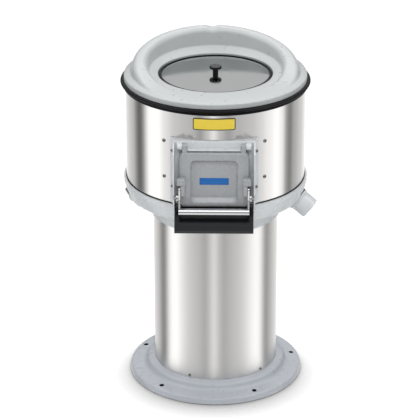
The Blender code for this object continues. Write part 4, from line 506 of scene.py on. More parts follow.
def section_of(name, turn=0.0, centre=(0, 0, 0), axis=UP):
    """Outline of a turned node on one half plane, as (radius, height) points in order."""
    upright = Vector(axis).normalized().rotation_difference(UP).to_matrix()
    spun = Matrix.Rotation(-turn, 3, "Z")
    mesh = frame["nodes"][name].data
    local = [spun @ (upright @ (v.co - Vector(centre))) for v in mesh.vertices]
    key = {index: (round(p.x, 5), round(p.z, 5)) for index, p in enumerate(local)
           if abs(p.y) < TOUCH and p.x > -TOUCH}
    beside = {}
    for edge in mesh.edges:
        a, b = edge.vertices
        if a in key and b in key and key[a] != key[b]:
            beside.setdefault(key[a], set()).add(key[b])
            beside.setdefault(key[b], set()).add(key[a])
    start = min(beside, key=lambda point: (len(beside[point]), point))
    outline, before = [start], None
    while True:
        onward = [point for point in sorted(beside[outline[-1]]) if point != before]
        before = outline[-1]
        if onward and onward[0] == start:
            return outline
        if not onward:
            break
        outline.append(onward[0])
    # The outline is open, so it belongs to a solid piece: close it along the axis.
    first = [(0, outline[0][1])] if outline[0][0] > TOUCH else []
    last = [(0, outline[-1][1])] if outline[-1][0] > TOUCH else []
    return first + outline + last


def smooth_fillets(outline, rounds=2):
    """Cut the corners that are part of an arc, and leave real corners sharp."""
    for _ in range(rounds):
        smoother = []
        for index, point in enumerate(outline):
            before, here = Vector(outline[index - 1]), Vector(point)
            after = Vector(outline[(index + 1) % len(outline)])
            turn = (here - before).angle(after - here, 0)
            if ARC_TURN[0] < turn < ARC_TURN[1] and here.x > TOUCH:
                smoother += [tuple(here.lerp(side, CORNER_SHARE)) for side in (before, after)]
            else:
                smoother.append(point)
        outline = smoother
    return outline


print("the foot's own profile has", len(section_of("base_flange")), "points")

# %% [markdown]
# The profile is turned in 160 steps. Each new piece rides on the body of the node that it sits
# beside, so that it moves with it, and it says which nodes it stands for, so that they hide.

# %% Turning helpers
TURN_STEPS, SMALL_STEPS = 160, 48
SMOOTH_ANGLE = math.radians(38)


def polar(radius, angle, height=0.0):
    """A point by its distance from the upright axis, its angle and its height."""
    return radius * math.cos(angle), radius * math.sin(angle), height


def mesh_of(shape, name, material):
    """Finish a bmesh as a shaded mesh with one material."""
    bmesh.ops.recalc_face_normals(shape, faces=shape.faces[:])
    data = bpy.data.meshes.new(name)
    shape.to_mesh(data)
    shape.free()
    data.shade_smooth()
    data.set_sharp_from_angle(angle=SMOOTH_ANGLE)
    data.materials.append(material)
    return data


def body_of(name):
    """The body that a node of the frame rides on."""
    bodies = frame["record"]["behaviour"]["bodies"]
    return next(body for body, nodes in bodies.items() if name in nodes)


def piece_from(shape, name, material, beside, *stands_for):
    """A piece that rides with the node beside it, and stands for some nodes of the frame."""
    made = in_scene(name, mesh_of(shape, name, material))
    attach(made, body_of(beside))
    if stands_for:
        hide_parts(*stands_for)
    return made


def turned(outline, steps=TURN_STEPS, centre=(0, 0, 0), axis=UP):
    """Turn an outline of (radius, height) points round an axis, as a bmesh."""
    shape = bmesh.new()
    rings = []
    for radius, height in outline:
        count = 1 if radius < TOUCH else steps
        rings.append([shape.verts.new(polar(radius, math.tau * k / steps, height))
                      for k in range(count)])
    for ring, after in zip(rings, rings[1:] + rings[:1]):
        if len(ring) == 1 and len(after) == 1:
            continue
        for k in range(steps):
            corners = [ring[k % len(ring)], ring[(k + 1) % len(ring)],
                       after[(k + 1) % len(after)], after[k % len(after)]]
            shape.faces.new(list(dict.fromkeys(corners)))
    lean = UP.rotation_difference(Vector(axis).normalized()).to_matrix().to_4x4()
    bmesh.ops.transform(shape, matrix=Matrix.Translation(centre) @ lean, verts=shape.verts[:])
    return shape


def turn_again(name, material, turn=0.0, steps=TURN_STEPS, centre=(0, 0, 0), axis=UP, broken=0.0):
    """A finer copy of a turned node from its own section, if asked with broken corners."""
    outline = smooth_fillets(section_of(name, turn, centre, axis))
    if broken:
        radii = [broken if radius > TOUCH else 0 for radius, _ in outline]
        outline = rounded(outline, radii, SOFT_STEPS)
    print(name, "section of", len(outline), "points")
    return piece_from(turned(outline, steps, centre, axis), "fine_" + name, material, name, name)


# %% [markdown]
# The plain turned pieces come first: the foot, the column, the seals, the lid and its knob. The
# seam ring between drum and tub is squeezed in by the drum's weight until it is almost flush with
# the drum's wall, so its section is cut short before it is turned.

# %% Turn the plain round pieces
for name, material in {
    "base_flange": base_enamel, "pedestal_tube": tube_stainless, "rim_gasket": epdm_rubber,
    "inner_lid": polished_steel, "lid_seal": epdm_rubber, "lid_knob": phenolic,
    "drum_shell": drum_stainless, "abrasive_liner": carbide_grit,
}.items():
    turn_again(name, material)
SEAM_EDGE = 0.2614
seam = [(min(radius, SEAM_EDGE), height) for radius, height in section_of("seam_gasket")]
piece_from(turned(seam), "fine_seam_gasket", epdm_rubber, "seam_gasket", "seam_gasket")
print("seam ring of", len(seam), "corners, edge at", SEAM_EDGE / MM, "mm")

# %% [markdown]
# Sheet is cut and castings are drilled after they are formed, and the same order works here: a
# turned piece is whole first, then a cutter of the real hole's size takes its material away.
# Corners of a cut window are round because the punch is.

# %% Shaping helpers
def softened(shape, edges, radius):
    """Round some edges of a bmesh."""
    bmesh.ops.bevel(shape, geom=edges, offset=radius, segments=SOFT_STEPS, profile=0.5,
                    affect="EDGES")
    return shape


def block(half_width, low, high):
    """A rectangle, even about the middle."""
    return [(-half_width, low), (half_width, low), (half_width, high), (-half_width, high)]


def extruded(outline, along, start, end, soften=0.0):
    """A bmesh between two copies of an outline: (y, z) along X, (x, z) along Y, (x, y) along Z."""
    place = {"X": lambda a, b, c: (c, a, b), "Y": lambda a, b, c: (a, c, b),
             "Z": lambda a, b, c: (a, b, c)}
    shape = bmesh.new()
    near = [shape.verts.new(place[along](a, b, start)) for a, b in outline]
    far = [shape.verts.new(place[along](a, b, end)) for a, b in outline]
    caps = [shape.faces.new(near), shape.faces.new(far[::-1])]
    for k in range(len(outline)):
        after = (k + 1) % len(outline)
        shape.faces.new((near[k], near[after], far[after], far[k]))
    rims = [edge for cap in caps for edge in cap.edges]
    return softened(shape, rims, soften) if soften else shape


def soft_block(low, high, radius):
    """A block between two corners with all its edges rounded."""
    shape = bmesh.new()
    bmesh.ops.create_cube(shape, size=1.0)
    low, high = Vector(low), Vector(high)
    bmesh.ops.scale(shape, vec=high - low, verts=shape.verts[:])
    bmesh.ops.translate(shape, vec=(low + high) / 2, verts=shape.verts[:])
    return softened(shape, shape.edges[:], radius)


def lofted(rings, hoop=False):
    """A bmesh through rings with equal numbers of points, capped, or closed into a hoop."""
    shape = bmesh.new()
    loops = [[shape.verts.new(point) for point in ring] for ring in rings]
    for loop, after in zip(loops, loops[1:] + (loops[:1] if hoop else [])):
        for k in range(len(loop)):
            beside = (k + 1) % len(loop)
            shape.faces.new((loop[k], loop[beside], after[beside], after[k]))
    if not hoop:
        shape.faces.new(loops[0])
        shape.faces.new(loops[-1][::-1])
    return shape


def rod(radius, start, end, steps=SMALL_STEPS):
    """A round bar between two points, as a bmesh."""
    along = Vector(end) - Vector(start)
    outline = [(0, 0), (radius, 0), (radius, along.length), (0, along.length)]
    return turned(outline, steps, start, along)


def shaped(piece, tool_shape, operation="DIFFERENCE", inside=None):
    """Cut a closed bmesh out of a piece, or add it; inside is the cut faces' own finish."""
    tool = in_scene("tool", mesh_of(tool_shape, "tool", inside or piece.data.materials[0]))
    boolean = piece.modifiers.new("shaping", "BOOLEAN")
    boolean.operation = operation
    boolean.object = tool
    boolean.solver = "EXACT"
    boolean.material_mode = "TRANSFER"
    bpy.context.view_layer.update()
    graph = bpy.context.evaluated_depsgraph_get()
    result = bpy.data.meshes.new_from_object(piece.evaluated_get(graph))
    piece.modifiers.clear()
    piece.data = result
    result.shade_smooth()
    result.set_sharp_from_angle(angle=SMOOTH_ANGLE)
    bpy.data.objects.remove(tool)
    return piece


def fine(name):
    """The finer piece that stands for a node."""
    return bpy.data.objects["fine_" + name]


# %% [markdown]
# The drum has a window for the door, which the grit liner repeats, and a hole for the water
# inlet. The pedestal has a hole for the supply lead.

# %% Cut the windows
DRUM_RADIUS = 0.260
WINDOW_HALF, WINDOW_LOW, WINDOW_HIGH, WINDOW_CORNER = 0.086, 0.6536, 0.7901, 0.010
LINER_MARGIN = 0.0015
INLET_HEIGHT, INLET_HOLE, NUT_HOLE = 0.8678, 0.0103, 0.018
GLAND_HEIGHT, GLAND_HOLE, TUBE_RADIUS = 0.110, 0.0113, 0.182
CUT_PAST = 0.004                       # how far a cutter goes past what it cuts


def window(grow=0.0):
    """A cutter for the door's window, through drum, liner and frame."""
    corners = block(WINDOW_HALF + grow, WINDOW_LOW - grow, WINDOW_HIGH + grow)
    return extruded(rounded(corners, WINDOW_CORNER + grow), "Y", -DRUM_RADIUS - 3 * CUT_PAST,
                    -DRUM_RADIUS / 2)


def rear_hole(radius, reach, height, depth):
    """A cutter through a rear wall whose outside lies at a reach behind the axis."""
    return rod(radius, (0, reach - depth, height), (0, reach + CUT_PAST, height))


shaped(fine("drum_shell"), window())
shaped(fine("drum_shell"), rear_hole(INLET_HOLE, DRUM_RADIUS, INLET_HEIGHT, 2 * CUT_PAST))
shaped(fine("abrasive_liner"), window(LINER_MARGIN))
shaped(fine("abrasive_liner"), rear_hole(NUT_HOLE, DRUM_RADIUS, INLET_HEIGHT, 4 * CUT_PAST))
shaped(fine("pedestal_tube"), rear_hole(GLAND_HOLE, TUBE_RADIUS, GLAND_HEIGHT, 2 * CUT_PAST))
print("openings cut in drum, liner and pedestal")

# %% [markdown]
# The foot is bolted to the floor through five holes with a small countersink. A drill leaves bare
# metal, so the holes have a finish of their own, which the cutter brings along. It is painted near
# black, as painted shade for the dark inside the holes.

# %% Drill the foot
# Painted shade: the near-black colour stands for the dark inside the holes.
drilled_metal_painted_shade = finish("drilled_metal_with_painted_shade", "161617", 0.6, 0.5)
FLOOR_BOLTS, BOLT_CIRCLE, BOLT_TURN = 5, 0.2345, math.radians(12)
BOLT_HOLE, SINK_RADIUS, FOOT_RIM_TOP = 0.0055, 0.0072, 0.0198
above_rim = FOOT_RIM_TOP + 3 * CUT_PAST
bolt_hole = [(0, -CUT_PAST), (BOLT_HOLE, -CUT_PAST), (BOLT_HOLE, FOOT_RIM_TOP - CUT_PAST),
             (SINK_RADIUS, FOOT_RIM_TOP), (SINK_RADIUS, above_rim), (0, above_rim)]
for k in range(FLOOR_BOLTS):
    centre = polar(BOLT_CIRCLE, BOLT_TURN + math.tau * k / FLOOR_BOLTS)
    shaped(fine("base_flange"), turned(bolt_hole, SMALL_STEPS, centre), inside=drilled_metal_painted_shade)
print("holes drilled:", FLOOR_BOLTS)

# %% [markdown]
# The tub is the big casting under the drum. It has two sloping round bosses near its lower edge:
# the right one is bored for the waste outlet, and the left one is closed with a blanking plate,
# so that the drain can be on either side. A caster's pattern has these bosses as loose cones set
# against the bowl, and here they are cones too, joined to the turned bowl.

# %% Tub casting and its bosses
OUTLET_TURN, OUTLET_SLOPE = math.radians(12), math.radians(38)
GASKET_WALL, JOINT_AIR = 0.002, 0.0003
FLANGE_RADIUS, BORE_RADIUS, BORE_DEPTH = 0.0345, 0.027, 0.06
PAD_DEPTH, PAD_EDGE, PAD_ROOT = 0.026, 0.004, 0.030
SPOT_RADIUS, SPOT_DEPTH = 0.0365, 0.0013
SIDES = {"left": -1, "right": 1}
GASKETS = {"left": "blanking_gasket", "right": "outlet_gasket"}


def middle_of(name):
    """Middle of a node's box; for a round piece that is the middle of its axis."""
    low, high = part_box(name)
    return (Vector(low) + Vector(high)) / 2


def outlet_place(side):
    """Middle of a boss's joint face, and the direction that it faces."""
    level = Vector((SIDES[side] * math.cos(OUTLET_TURN), -math.sin(OUTLET_TURN), 0))
    outward = level * math.cos(OUTLET_SLOPE) - UP * math.sin(OUTLET_SLOPE)
    return middle_of(GASKETS[side]) - outward * GASKET_WALL / 2, outward


TUB_RADIUS, TUB_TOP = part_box("tub_casting")[1][1:]
BAND_BOTTOM, COVE_HEIGHT, COLLAR_RADIUS, PAD_TRIM = 0.578, 0.554, 0.1893, 0.006
TUB_DRAFT, SEAT_RADIUS, BOWL_ROUND, WALL_SKIN = 0.0095, 0.253, 0.020, 0.002
REAR = math.radians(90)
tub = turn_again("tub_casting", casting_enamel, REAR)
bowl_floor = COVE_HEIGHT + PAD_TRIM
inside_of_wall = rounded(
    [(0, TUB_TOP), (0, bowl_floor), (COLLAR_RADIUS - PAD_TRIM, bowl_floor),
     (TUB_RADIUS - TUB_DRAFT - PAD_TRIM, BAND_BOTTOM + PAD_TRIM),
     (SEAT_RADIUS + WALL_SKIN, TUB_TOP)], [0, 0, 0, BOWL_ROUND, 0])
pad_outline = [(0, -PAD_DEPTH), (PAD_ROOT, -PAD_DEPTH), (FLANGE_RADIUS, -PAD_EDGE),
               (FLANGE_RADIUS, -JOINT_AIR), (0, -JOINT_AIR)]
for side in SIDES:
    middle, outward = outlet_place(side)
    shaped(tub, rod(SPOT_RADIUS, middle - outward * SPOT_DEPTH, middle + outward * PAD_DEPTH))
    cone = turned(pad_outline, SMALL_STEPS, middle, outward)
    pad = shaped(in_scene("pad", mesh_of(cone, "pad", casting_enamel)), turned(inside_of_wall))
    pad_shape = bmesh.new()
    pad_shape.from_mesh(pad.data)
    bpy.data.objects.remove(pad)
    shaped(tub, pad_shape, "UNION")
middle, outward = outlet_place("right")
shaped(tub, rod(BORE_RADIUS, middle - outward * BORE_DEPTH, middle + outward * CUT_PAST))
print("tub faces:", len(tub.data.polygons))

# %% [markdown]
# On the bosses sit a flanged spigot for the waste hose and a blanking plate, each on its rubber
# ring. All four are turned pieces whose axis slopes down and outward.

# %% Outlet and blanking plate
OUTLET_STEPS = 64
for side, closure in {"right": "waste_outlet", "left": "blanking_plate"}.items():
    middle, outward = outlet_place(side)
    turn_again(GASKETS[side], epdm_rubber, 0.0, OUTLET_STEPS, middle, outward)
    turn_again(closure, casting_enamel, 0.0, OUTLET_STEPS, middle, outward)

# %% [markdown]
# The top cover is one moulding. Its outline changes all the way round: high at the rear, where
# the hood turns back the splash, and fading to a flat ring at the front. So its section is worked
# out anew at each angle, and a skin is drawn through 192 of these sections.

# %% Top cover
COVER_STEPS = 192
COVER_BOTTOM, COVER_RIM, COVER_LEDGE_TOP = 0.9267, 0.942, 0.930
COVER_RADIUS, OPENING_RADIUS, LEDGE_RADIUS, LEDGE_WALL = 0.2635, 0.165, 0.151, 0.003
SKIRT_RADIUS, SKIRT_WALL, SKIRT_DROP, COVER_WALL = 0.2475, 0.004, 0.012, 0.005
EDGE_HEIGHT, EDGE_ROUND, RIM_ROUND = 0.014, 0.004, 0.0035
HOOD_HEIGHT, CREST_RADIUS, CREST_WIDTH = 0.068, 0.217, 0.038
HOOD_FOOT, HOOD_FOOT_RISE, HOOD_FOOT_ROUND = 0.190, 0.0155, 0.007
HOOD_OUTER_SPREAD, HOOD_OUTER_RISE = 0.008, 0.014
HOOD_TURN, HOOD_SPREAD, HOOD_FADE = math.radians(98), math.radians(125), 0.12
NOTCH_TURN, NOTCH_WIDTH, NOTCH_DEPTH = math.radians(93), math.radians(4), 0.005


def hood_share(angle):
    """How high the hood stands at an angle, as a share of its height at the rear."""
    away = abs(math.remainder(angle - HOOD_TURN, math.tau))
    wave = math.cos(away * math.pi / 2 / HOOD_SPREAD)
    return (math.sqrt(wave * wave + HOOD_FADE * HOOD_FADE) + wave) / 2


def notch_share(angle):
    """How deep the notch in the crest is at an angle, as a share of its full depth."""
    away = math.remainder(angle - NOTCH_TURN, math.tau) / NOTCH_WIDTH
    return max(0.0, 1 - away * away)


def cover_section(angle):
    """Closed section of the cover at one angle, as (radius, height) points."""
    share = hood_share(angle)
    crest = HOOD_HEIGHT * share - NOTCH_DEPTH * notch_share(angle)
    half = CREST_WIDTH / 2
    edge = COVER_BOTTOM + EDGE_HEIGHT
    outside = rounded(
        [(OPENING_RADIUS, COVER_LEDGE_TOP), (OPENING_RADIUS, COVER_RIM),
         (HOOD_FOOT, COVER_RIM + HOOD_FOOT_RISE * share),
         (CREST_RADIUS - half, COVER_RIM + crest), (CREST_RADIUS + half, COVER_RIM + crest),
         (CREST_RADIUS + half + HOOD_OUTER_SPREAD,
          (edge + COVER_RIM) / 2 + HOOD_OUTER_RISE * share),
         (COVER_RADIUS, edge), (COVER_RADIUS, COVER_BOTTOM)],
        [0, RIM_ROUND, HOOD_FOOT_ROUND, half, half, HOOD_FOOT_ROUND, EDGE_ROUND, 0])
    under, ledge_under = COVER_RIM - COVER_WALL, COVER_LEDGE_TOP - LEDGE_WALL
    skirt_foot, skirt_inside = COVER_BOTTOM - SKIRT_DROP, SKIRT_RADIUS - SKIRT_WALL
    neck = OPENING_RADIUS + COVER_WALL
    inside = [(SKIRT_RADIUS, COVER_BOTTOM), (SKIRT_RADIUS, skirt_foot),
              (skirt_inside, skirt_foot), (skirt_inside, under), (neck, under),
              (neck, ledge_under), (LEDGE_RADIUS, ledge_under), (LEDGE_RADIUS, COVER_LEDGE_TOP)]
    return outside + inside


angles = [math.tau * k / COVER_STEPS for k in range(COVER_STEPS)]
sections = [[polar(radius, angle, height) for radius, height in cover_section(angle)]
            for angle in angles]
piece_from(lofted(sections, hoop=True), "fine_top_cover", moulded_polyester, "top_cover",
           "top_cover")
print("cover drawn through", COVER_STEPS, "sections")

# %% [markdown]
# The latch handle is a chromed round bar welded between two flat arms. The arms turn on pins in
# the door's brackets, and a stub on each arm drops into a notch of the frame. Its places come
# from the frame: the pivot from the joint's pins, the stubs from the rollers, the bar from the
# handle's box.

# %% Latch handle
ARM_INNER, ARM_OUTER = 0.0944, 0.0992
ARM_HALF, ARM_FOOT_HALF, ARM_ROUND = 0.008, 0.006, 0.0072
BAR_RADIUS, PIN_HOLE, STUB_HOLE, EDGE_BREAK = 0.0102, 0.0039, 0.0043, 0.0008


def join_side(piece, sign, outline, radii, inner, outer, soften=0.0):
    """Join a flat shape of (y, z) points to a piece on one side, left -1 or right 1."""
    across = sorted((sign * inner, sign * outer))
    shaped(piece, extruded(rounded(outline, radii), "X", *across, soften), "UNION")


def bore_side(piece, sign, radius, place, start, end):
    """Bore a crosswise hole at a (y, z) place into a piece on one side."""
    shaped(piece, rod(radius, (sign * start, *place), (sign * end, *place)))


pivot, stub = middle_of("handle_pin_left").yz, middle_of("latch_roller_left").yz
handle_low = Vector(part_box("latch_handle")[0]).yz
bar = handle_low + Vector((BAR_RADIUS, BAR_RADIUS))
handle = piece_from(rod(BAR_RADIUS, (-ARM_OUTER, *bar), (ARM_OUTER, *bar)), "fine_latch_handle",
                    chromed_steel, "latch_handle", "latch_handle")
arm = [(pivot.x - ARM_HALF, pivot.y + ARM_HALF), (pivot.x + ARM_HALF, pivot.y + ARM_HALF),
       (stub.x + ARM_HALF, stub.y), (stub.x + ARM_HALF, stub.y - ARM_HALF),
       (bar.x + ARM_FOOT_HALF, bar.y), (bar.x - ARM_FOOT_HALF, bar.y),
       (stub.x - ARM_HALF, stub.y - ARM_HALF / 2)]
for side, sign in SIDES.items():
    join_side(handle, sign, arm, ARM_ROUND, ARM_INNER, ARM_OUTER)
    for radius, place in ((PIN_HOLE, pivot), (STUB_HOLE, stub)):
        bore_side(handle, sign, radius, place, ARM_INNER - CUT_PAST, ARM_OUTER + CUT_PAST)
    for name in ("handle_pin_" + side, "hinge_pin_" + side, "latch_roller_" + side):
        turn_again(name, chromed_steel, 0.0, SMALL_STEPS, middle_of(name), (sign, 0, 0),
                   EDGE_BREAK)
print("handle bar at", [round(v / MM, 1) for v in bar])

# %% [markdown]
# The frame is a casting screwed to the drum: a curved flange, a flat seat for the door, two
# cheeks with the notches that hold the latch, two bosses for the hinge pins and a ledge between
# them. A casting has no sharp edges, so every part of it is softened before it is joined.

# %% Door frame
AIR = 0.0003
SEAT_REACH, SEAT_IN, SEAT_HALF, FLANGE_WALL, FLANGE_HALF = 0.2665, 0.04, 0.1148, 0.004, 0.1245
CHEEK_INNER, CHEEK_OUTER, CHEEK_REACH, CHEEK_BACK = 0.1113, 0.1152, 0.304, 0.2625
CHEEK_DROP, CHEEK_FOOT, CHEEK_INSET = 0.026, 0.004, 0.002
CAST_SOFT, INNER_ROUND, SILL_ROUND, TRIM_PAST = 0.0011, 0.0035, 0.0012, 0.02
HINGE_BOSS, BOSS_INNER, BOSS_OUTER, HINGE_HOLE = 0.0098, 0.0893, 0.1040, 0.0043
SILL_HALF, SILL_LOW, SILL_WALL, SILL_OUT = 0.0747, 0.0135, 0.0055, 0.0145
NOTCH_HALF, NOTCH_UP, NOTCH_DOWN = 0.0052, 0.003, 0.008
SEAT_ROUNDS = [0, 0.002, 0.004, 0]
CHEEK_ROUNDS = [0, 0.002, 0.003, 0.002, 0.003, 0.003, 0.002, 0.006, 0.012, 0.006, 0]
FRAME_BOTTOM, FRAME_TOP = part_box("door_frame")[0][2] + CHEEK_FOOT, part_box("door_frame")[1][2]
hinge, notch = middle_of("hinge_pin_left").yz, middle_of("latch_roller_left").yz


def bent_block(half_width, low, high, inner, outer, corner):
    """A flat block, and the upright ring that bends it when only their common part stays."""
    flat = extruded(rounded(block(half_width, low, high), corner), "Y", -outer - CUT_PAST,
                    -inner / 2)
    low, high = low - CUT_PAST, high + CUT_PAST
    return flat, turned([(inner, low), (outer, low), (outer, high), (inner, high)])


flange_shape, flange_ring = bent_block(FLANGE_HALF, FRAME_BOTTOM, FRAME_TOP, DRUM_RADIUS + AIR,
                                       DRUM_RADIUS + AIR + FLANGE_WALL, INNER_ROUND)
casting = piece_from(flange_shape, "fine_door_frame", casting_enamel, "door_frame", "door_frame")
shaped(casting, flange_ring, "INTERSECT")
seat = [(-DRUM_RADIUS + SEAT_IN, FRAME_BOTTOM), (-SEAT_REACH, FRAME_BOTTOM),
        (-SEAT_REACH, FRAME_TOP), (-DRUM_RADIUS + SEAT_IN, FRAME_TOP)]
shaped(casting, extruded(rounded(seat, SEAT_ROUNDS), "X", -SEAT_HALF, SEAT_HALF, CAST_SOFT),
       "UNION")
cheek_foot, cheek_top = FRAME_BOTTOM - CHEEK_FOOT, FRAME_TOP - CHEEK_INSET
notch_low, notch_high = notch.y - NOTCH_HALF, notch.y + NOTCH_HALF
cheek = [(-CHEEK_BACK, FRAME_BOTTOM + CHEEK_INSET), (-SEAT_REACH - CHEEK_INSET, cheek_foot),
         (-CHEEK_REACH, cheek_foot), (-CHEEK_REACH, notch_low - NOTCH_DOWN),
         (notch.x + NOTCH_HALF, notch_low), (notch.x + NOTCH_HALF, notch_high),
         (-CHEEK_REACH, notch_high + NOTCH_UP), (-CHEEK_REACH, FRAME_TOP - CHEEK_DROP),
         (hinge.x - HINGE_BOSS, hinge.y), (hinge.x, cheek_top), (-CHEEK_BACK, cheek_top)]
boss = [(-CHEEK_BACK, hinge.y - HINGE_BOSS), (hinge.x - HINGE_BOSS, hinge.y - HINGE_BOSS),
        (hinge.x - HINGE_BOSS, hinge.y + HINGE_BOSS), (-CHEEK_BACK, hinge.y + HINGE_BOSS)]
for sign in SIDES.values():
    join_side(casting, sign, cheek, CHEEK_ROUNDS, CHEEK_INNER, CHEEK_OUTER, CAST_SOFT)
    join_side(casting, sign, boss, [0, HINGE_BOSS, HINGE_BOSS, 0], BOSS_INNER, BOSS_OUTER,
              CAST_SOFT)
sill_low, sill_front = hinge.y - SILL_LOW, -SEAT_REACH - SILL_OUT
sill = [(-CHEEK_BACK, sill_low), (sill_front, sill_low), (sill_front, sill_low + SILL_WALL / 2),
        (-CHEEK_BACK, sill_low + SILL_WALL)]
shaped(casting, extruded(rounded(sill, [0, SILL_ROUND, SILL_ROUND, 0]), "X", -SILL_HALF,
                         SILL_HALF, CAST_SOFT / 2), "UNION")
shaped(casting, rod(DRUM_RADIUS + AIR, (0, 0, FRAME_BOTTOM - TRIM_PAST),
                    (0, 0, FRAME_TOP + TRIM_PAST), TURN_STEPS))
shaped(casting, window())
for sign in SIDES.values():
    bore_side(casting, sign, HINGE_HOLE, hinge, BOSS_INNER - CUT_PAST, BOSS_OUTER + CUT_PAST)
print("frame faces:", len(casting.data.polygons))

# %% [markdown]
# The door is a casting as well: a slab with round edges and a pocket whose walls lean outward, so
# that the pattern can be drawn from the sand. Both are skins through rings, each a little further
# along the curve of an edge.

# %% Door slab and pocket
DOOR_HALF, DOOR_TOP_DROP, DOOR_HEIGHT, DOOR_BACK, DOOR_FACE = 0.0985, 0.016, 0.161, 0.2693, 0.2900
DOOR_CORNER, DOOR_EDGE, EDGE_STEPS = 0.016, 0.005, 5
POCKET_HALF, POCKET_INSET, POCKET_HEIGHT = 0.0665, 0.022, 0.127
POCKET_DEPTH, POCKET_CORNER = 0.012, 0.014
SIDE_LEAN, FOOT_LEAN, FLOOR_SOFT, RIM_SOFT, RIM_SPREAD = 0.005, 0.013, 0.0035, 0.0018, 0.6
door_top = hinge.y - DOOR_TOP_DROP
door_bottom = door_top - DOOR_HEIGHT
pocket_top = door_top - POCKET_INSET
pocket_bottom = pocket_top - POCKET_HEIGHT


def slab_ring(reach, less):
    """Outline of the slab at a reach in front of the axis, narrower by a little."""
    corners = block(DOOR_HALF - less, door_bottom + less, door_top - less)
    return [(x, -reach, z) for x, z in rounded(corners, DOOR_CORNER - less)]


def pocket_ring(depth, grow):
    """Outline of the pocket at a depth below the door's face, wider by a little."""
    lean = max(depth, 0) / POCKET_DEPTH
    side = SIDE_LEAN * lean
    corners = block(POCKET_HALF - side + grow, pocket_bottom + FOOT_LEAN * lean - grow,
                    pocket_top - side + grow)
    return [(x, depth - DOOR_FACE, z) for x, z in rounded(corners, POCKET_CORNER - side + grow)]


quarter = [(math.sin(math.pi / 2 * k / EDGE_STEPS), math.cos(math.pi / 2 * k / EDGE_STEPS))
           for k in range(EDGE_STEPS + 1)]
slab = [slab_ring(DOOR_BACK, 0)]
slab += [slab_ring(DOOR_FACE - DOOR_EDGE * (1 - s), DOOR_EDGE * (1 - c)) for s, c in quarter]
door = piece_from(lofted(slab), "fine_discharge_door", door_enamel, "discharge_door",
                  "discharge_door")
pocket = [pocket_ring(POCKET_DEPTH - FLOOR_SOFT * (1 - c), -FLOOR_SOFT * (1 - s))
          for s, c in quarter]
pocket += [pocket_ring(RIM_SOFT * c, RIM_SOFT * (1 - c) * RIM_SPREAD) for s, c in quarter]
pocket += [pocket_ring(-CUT_PAST, RIM_SOFT)]
print("door slab of", len(slab), "rings, pocket of", len(pocket))

# %% [markdown]
# A plug on the door's back fills the window. Two lugs carry the hinge, two legs carry the handle,
# and a block at the top of each leg stops the handle when it is lifted. They are joined before
# the plug's end is turned to the drum's curve, the pocket is sunk and the pin holes are bored.

# %% Discharge door
PLUG_HALF, PLUG_LOW, PLUG_HIGH, PLUG_CORNER = 0.082, 0.6579, 0.7861, 0.006
PLUG_REACH, PLUG_SINK = 0.2545, 0.002
LUG_INNER, LUG_OUTER, LUG_RADIUS, LUG_HOLE = 0.0752, 0.0888, 0.009, 0.0044
LEG_INNER, LEG_WIDTH, LEG_DROP, LEG_TOP, HEAD_RISE = 0.0805, 0.0135, 0.019, 0.006, 0.0145
BLOCK_SINK, PIVOT_HOLE, PIVOT_DEPTH = 0.008, 0.0038, 0.0083
leg_end = LEG_INNER + LEG_WIDTH
leg_low, head_low = pivot.y - LEG_DROP, pivot.y + HEAD_RISE
BLOCKS = {                             # inner, outer, how proud, low, high, how soft
    "leg": (LEG_INNER, leg_end, 0.017, leg_low, head_low + LEG_TOP, 0.0042),
    "head": (0.0802, 0.104, 0.020, head_low, head_low + 0.020, 0.0036),
}
shaped(door, extruded(rounded(block(PLUG_HALF, PLUG_LOW, PLUG_HIGH), PLUG_CORNER), "Y",
                      -DOOR_BACK - PLUG_SINK, -DRUM_RADIUS / 2), "UNION")
lug_low, lug_high = door_top - LUG_RADIUS, hinge.y + LUG_RADIUS
lug = [(hinge.x - LUG_RADIUS, lug_low), (hinge.x - LUG_RADIUS, lug_high),
       (hinge.x + LUG_RADIUS, lug_high), (-DOOR_BACK - AIR, lug_low)]
for sign in SIDES.values():
    join_side(door, sign, lug, [0, LUG_RADIUS, LUG_RADIUS, 0], LUG_INNER, LUG_OUTER, CAST_SOFT)
    for inner, outer, proud, low, high, soft in BLOCKS.values():
        left, right = sorted((sign * inner, sign * outer))
        shaped(door, soft_block((left, -DOOR_FACE - proud, low),
                                (right, BLOCK_SINK - DOOR_FACE, high), soft), "UNION")
shaped(door, rod(PLUG_REACH, (0, 0, door_bottom), (0, 0, door_top), TURN_STEPS))
shaped(door, lofted(pocket))
for sign in SIDES.values():
    bore_side(door, sign, LUG_HOLE, hinge, LUG_INNER - CUT_PAST, LUG_OUTER + CUT_PAST)
    bore_side(door, sign, PIVOT_HOLE, pivot, leg_end - PIVOT_DEPTH, leg_end + CUT_PAST)
print("door faces:", len(door.data.polygons))

# %% [markdown]
# The chute is folded from one sheet: an upstand behind, a sloping floor, a turned-down lip and
# two walls. A folded corner is as round as the sheet is thick, and cut rims are only just dull.

# %% Chute tray
TRAY_HALF, SHEET, TRAY_REACH, TRAY_FALL, TRAY_RISE = 0.1110, 0.0022, 0.068, 0.050, 0.003
UPSTAND, LIP_DROP, WALL_REAR, WALL_FRONT = 0.0065, 0.005, 0.017, 0.013
FOLD_ROUND, RIM_DULL, WALL_ROUNDS = 0.0032, 0.0006, [0.002, 0.002, 0.004, 0.002]
tray_start, tray_rear = -SEAT_REACH - AIR, FRAME_BOTTOM + TRAY_RISE
lip_y, lip_z = tray_start - TRAY_REACH, tray_rear - TRAY_FALL
fall = math.atan2(TRAY_FALL, TRAY_REACH)
under = SHEET / math.cos(fall)
sheet = [(tray_start, tray_rear + UPSTAND), (tray_start, tray_rear - under),
         (lip_y + SHEET, lip_z - under), (lip_y + SHEET, lip_z - LIP_DROP),
         (lip_y, lip_z - LIP_DROP), (lip_y, lip_z),
         (tray_start - SHEET, tray_rear - SHEET * math.tan(fall)),
         (tray_start - SHEET, tray_rear + UPSTAND)]
